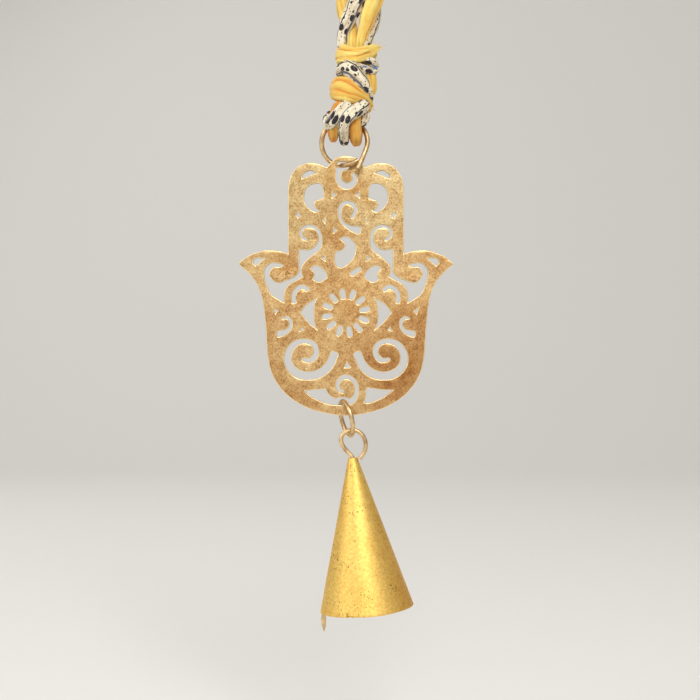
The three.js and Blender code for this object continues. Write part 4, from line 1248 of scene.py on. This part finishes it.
# Brushed gold on rolled sheet: yellow gold with a fine grain and faint browner blotches, made browner round
# the right side as painted shade, with small pits in patches about its middle. Its mouth is rubbed pale and
# painted paler as a highlight.
bell_gold, tree, shader = new_material("brushed_gold_sheet", 0.55, 1.0)
place = add_node(tree, "TexCoord", {})
grain = add_node(
    tree,
    "TexNoise",
    {"Scale": 1 / (0.9 * MM), "Detail": 6, "Roughness": 0.7},
    [("Vector", place.outputs["Object"])],
)
gold = add_node(tree, "ValToRGB", {}, [("Fac", grain.outputs["Fac"])])
gold.color_ramp.elements[0].position = 0.3
gold.color_ramp.elements[0].color = linear("#E2B25C")
gold.color_ramp.elements[1].position = 0.6
gold.color_ramp.elements[1].color = linear("#F9DA7C")
bell_middle = bell_place @ Vector((0, 0, cone_top - 0.7 * cone_height))
cone_axes = add_node(tree, "SeparateXYZ", {}, [("Vector", place.outputs["Object"])])
# Painted shade: the right side is made browner, as the side turned from the light.
painted_right_shade_share = add_node(
    tree,
    "MapRange",
    {
        "From Min": (bell_middle.x + 1) * MM,
        "From Max": (bell_middle.x + cone_mouth) * MM,
        "To Min": 0.0,
        "To Max": 0.3,
    },
    [("Value", cone_axes.outputs["X"])],
)
browned = add_node(
    tree,
    "Mix",
    {"data_type": "RGBA", "blend_type": "MULTIPLY", 7: linear("#DFAE66")},
    [(0, painted_right_shade_share.outputs["Result"]), (6, gold.outputs["Color"])],
)
bloom = add_node(
    tree,
    "TexNoise",
    {"Scale": 1 / (11 * MM), "Detail": 3},
    [("Vector", place.outputs["Object"])],
)
bloom_range = add_node(
    tree,
    "MapRange",
    {"From Min": 0.4, "From Max": 0.7, "To Min": 0.0, "To Max": 0.3},
    [("Value", bloom.outputs["Fac"])],
)
with_brown = add_node(
    tree,
    "Mix",
    {"data_type": "RGBA", "blend_type": "MULTIPLY", 7: linear("#EDC28F")},
    [(0, bloom_range.outputs["Result"]), (6, browned.outputs[2])],
)
pits = add_node(
    tree,
    "TexNoise",
    {"Scale": 1 / (0.65 * MM), "Detail": 1},
    [("Vector", place.outputs["Object"])],
)
pit_patch = add_node(
    tree,
    "TexNoise",
    {"Scale": 1 / (6 * MM), "Detail": 2},
    [("Vector", place.outputs["Object"])],
)
pit_chance = add_node(
    tree,
    "MapRange",
    {"From Min": 0.4, "From Max": 0.68, "To Min": 0.74, "To Max": 0.6},
    [("Value", pit_patch.outputs["Fac"])],
)
pit_depth = add_node(
    tree, "Math", {"operation": "SUBTRACT"}, [(0, pits.outputs["Fac"]), (1, pit_chance.outputs["Result"])]
)
pit = add_node(
    tree,
    "MapRange",
    {"From Min": 0.0, "From Max": 0.06, "To Min": 0.0, "To Max": 0.8},
    [("Value", pit_depth.outputs["Value"])],
)
pitted = add_node(
    tree,
    "Mix",
    {"data_type": "RGBA", 7: linear("#7A5B2A")},
    [(0, pit.outputs["Result"]), (6, with_brown.outputs[2])],
)
tree.links.new(pitted.outputs[2], shader.inputs["Base Color"])
sunk = add_node(
    tree,
    "Math",
    {"operation": "SUBTRACT"},
    [(0, grain.outputs["Fac"]), (1, pit.outputs["Result"])],
)
grain_bump = add_node(
    tree,
    "Bump",
    {"Strength": 0.45, "Distance": 0.08 * MM},
    [("Height", sunk.outputs["Value"])],
)
tree.links.new(grain_bump.outputs["Normal"], shader.inputs["Normal"])
cone.data.materials.append(bell_gold)
# Painted highlight: the mouth's rim takes the pale rubbed edge, partly wear and partly painted light.
cone.data.materials.append(rubbed_edge_and_highlight)
bell_axis = (bell_place.to_3x3() @ Vector((0, 0, 1))).normalized()
for polygon in cone.data.polygons:
    polygon.material_index = 1 if polygon.normal.dot(bell_axis) < -0.6 else 0

# Clapper: a thin gilt wire that hangs from the hook by an eye bent at its top. It ends below the mouth in a
# point hammered flat.
clapper_top = pivot["clapper_swing"] / MM
clapper_wire = 1.2
eye_radius = 1.8
eye_middle = (eye_wire + clapper_wire) / 2 + hang_gap - eye_radius
hook_to_mouth = hook_middle - hook_radius - (cone_top - cone_height)
mouth_inside = cone_mouth - cone_wall
clapper_room = clapper_wire / 2 + hang_gap
clapper_lean = math.atan(mouth_inside / hook_to_mouth) - math.asin(
    clapper_room / math.hypot(mouth_inside, hook_to_mouth)
)
knee = -hook_to_mouth / math.cos(clapper_lean)
tip_length = 6.5
tip_bend = math.radians(13)
clapper_place = Matrix.Translation(clapper_top) @ Matrix.Rotation(-bell_tilt, 4, "Y")
clapper_place = clapper_place @ Matrix.Rotation(clapper_lean, 4, "Y")
clapper_route = []
for turn in range(250, -1, -25):
    angle = math.radians(turn)
    clapper_route.append((eye_radius * math.cos(angle), 0, eye_middle + eye_radius * math.sin(angle)))
clapper_route += [
    (0.75 * eye_radius, 0, eye_middle - 1.5 * eye_radius),
    (0.2 * eye_radius, 0, eye_middle - 3.5 * eye_radius),
    (0, 0, eye_middle - 5.5 * eye_radius),
    (0, 0, 0.6 * knee),
    (0, 0, knee),
    (tip_length * math.sin(tip_bend), 0, knee - tip_length * math.cos(tip_bend)),
]
clapper_line = [clapper_place @ Vector(point) for point in clapper_route]
clapper = bent_wire("hammered_clapper", clapper_line, clapper_wire, "striker")
to_clapper = clapper_place.inverted()
for vertex in clapper.data.vertices:
    local = to_clapper @ (vertex.co / MM)
    below = (knee - local.z) / tip_length
    if below > 0:
        spread = 1 + 0.45 * math.sin(math.pi * min(1.0, below * 1.15))
        middle = (knee - local.z) * math.tan(tip_bend)
        taper = 1 - 0.35 * max(0.0, below - 0.7) / 0.3
        local.x = middle + (local.x - middle) * spread * taper
        local.y *= 1 - 0.45 * min(1.0, below * 3)
        local.z -= 1.3 * (local.x - middle) * max(0.0, below - 0.7) / 0.3
        vertex.co = (clapper_place @ local) * MM
clapper.data.materials.append(gilt_wire)
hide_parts("clapper")
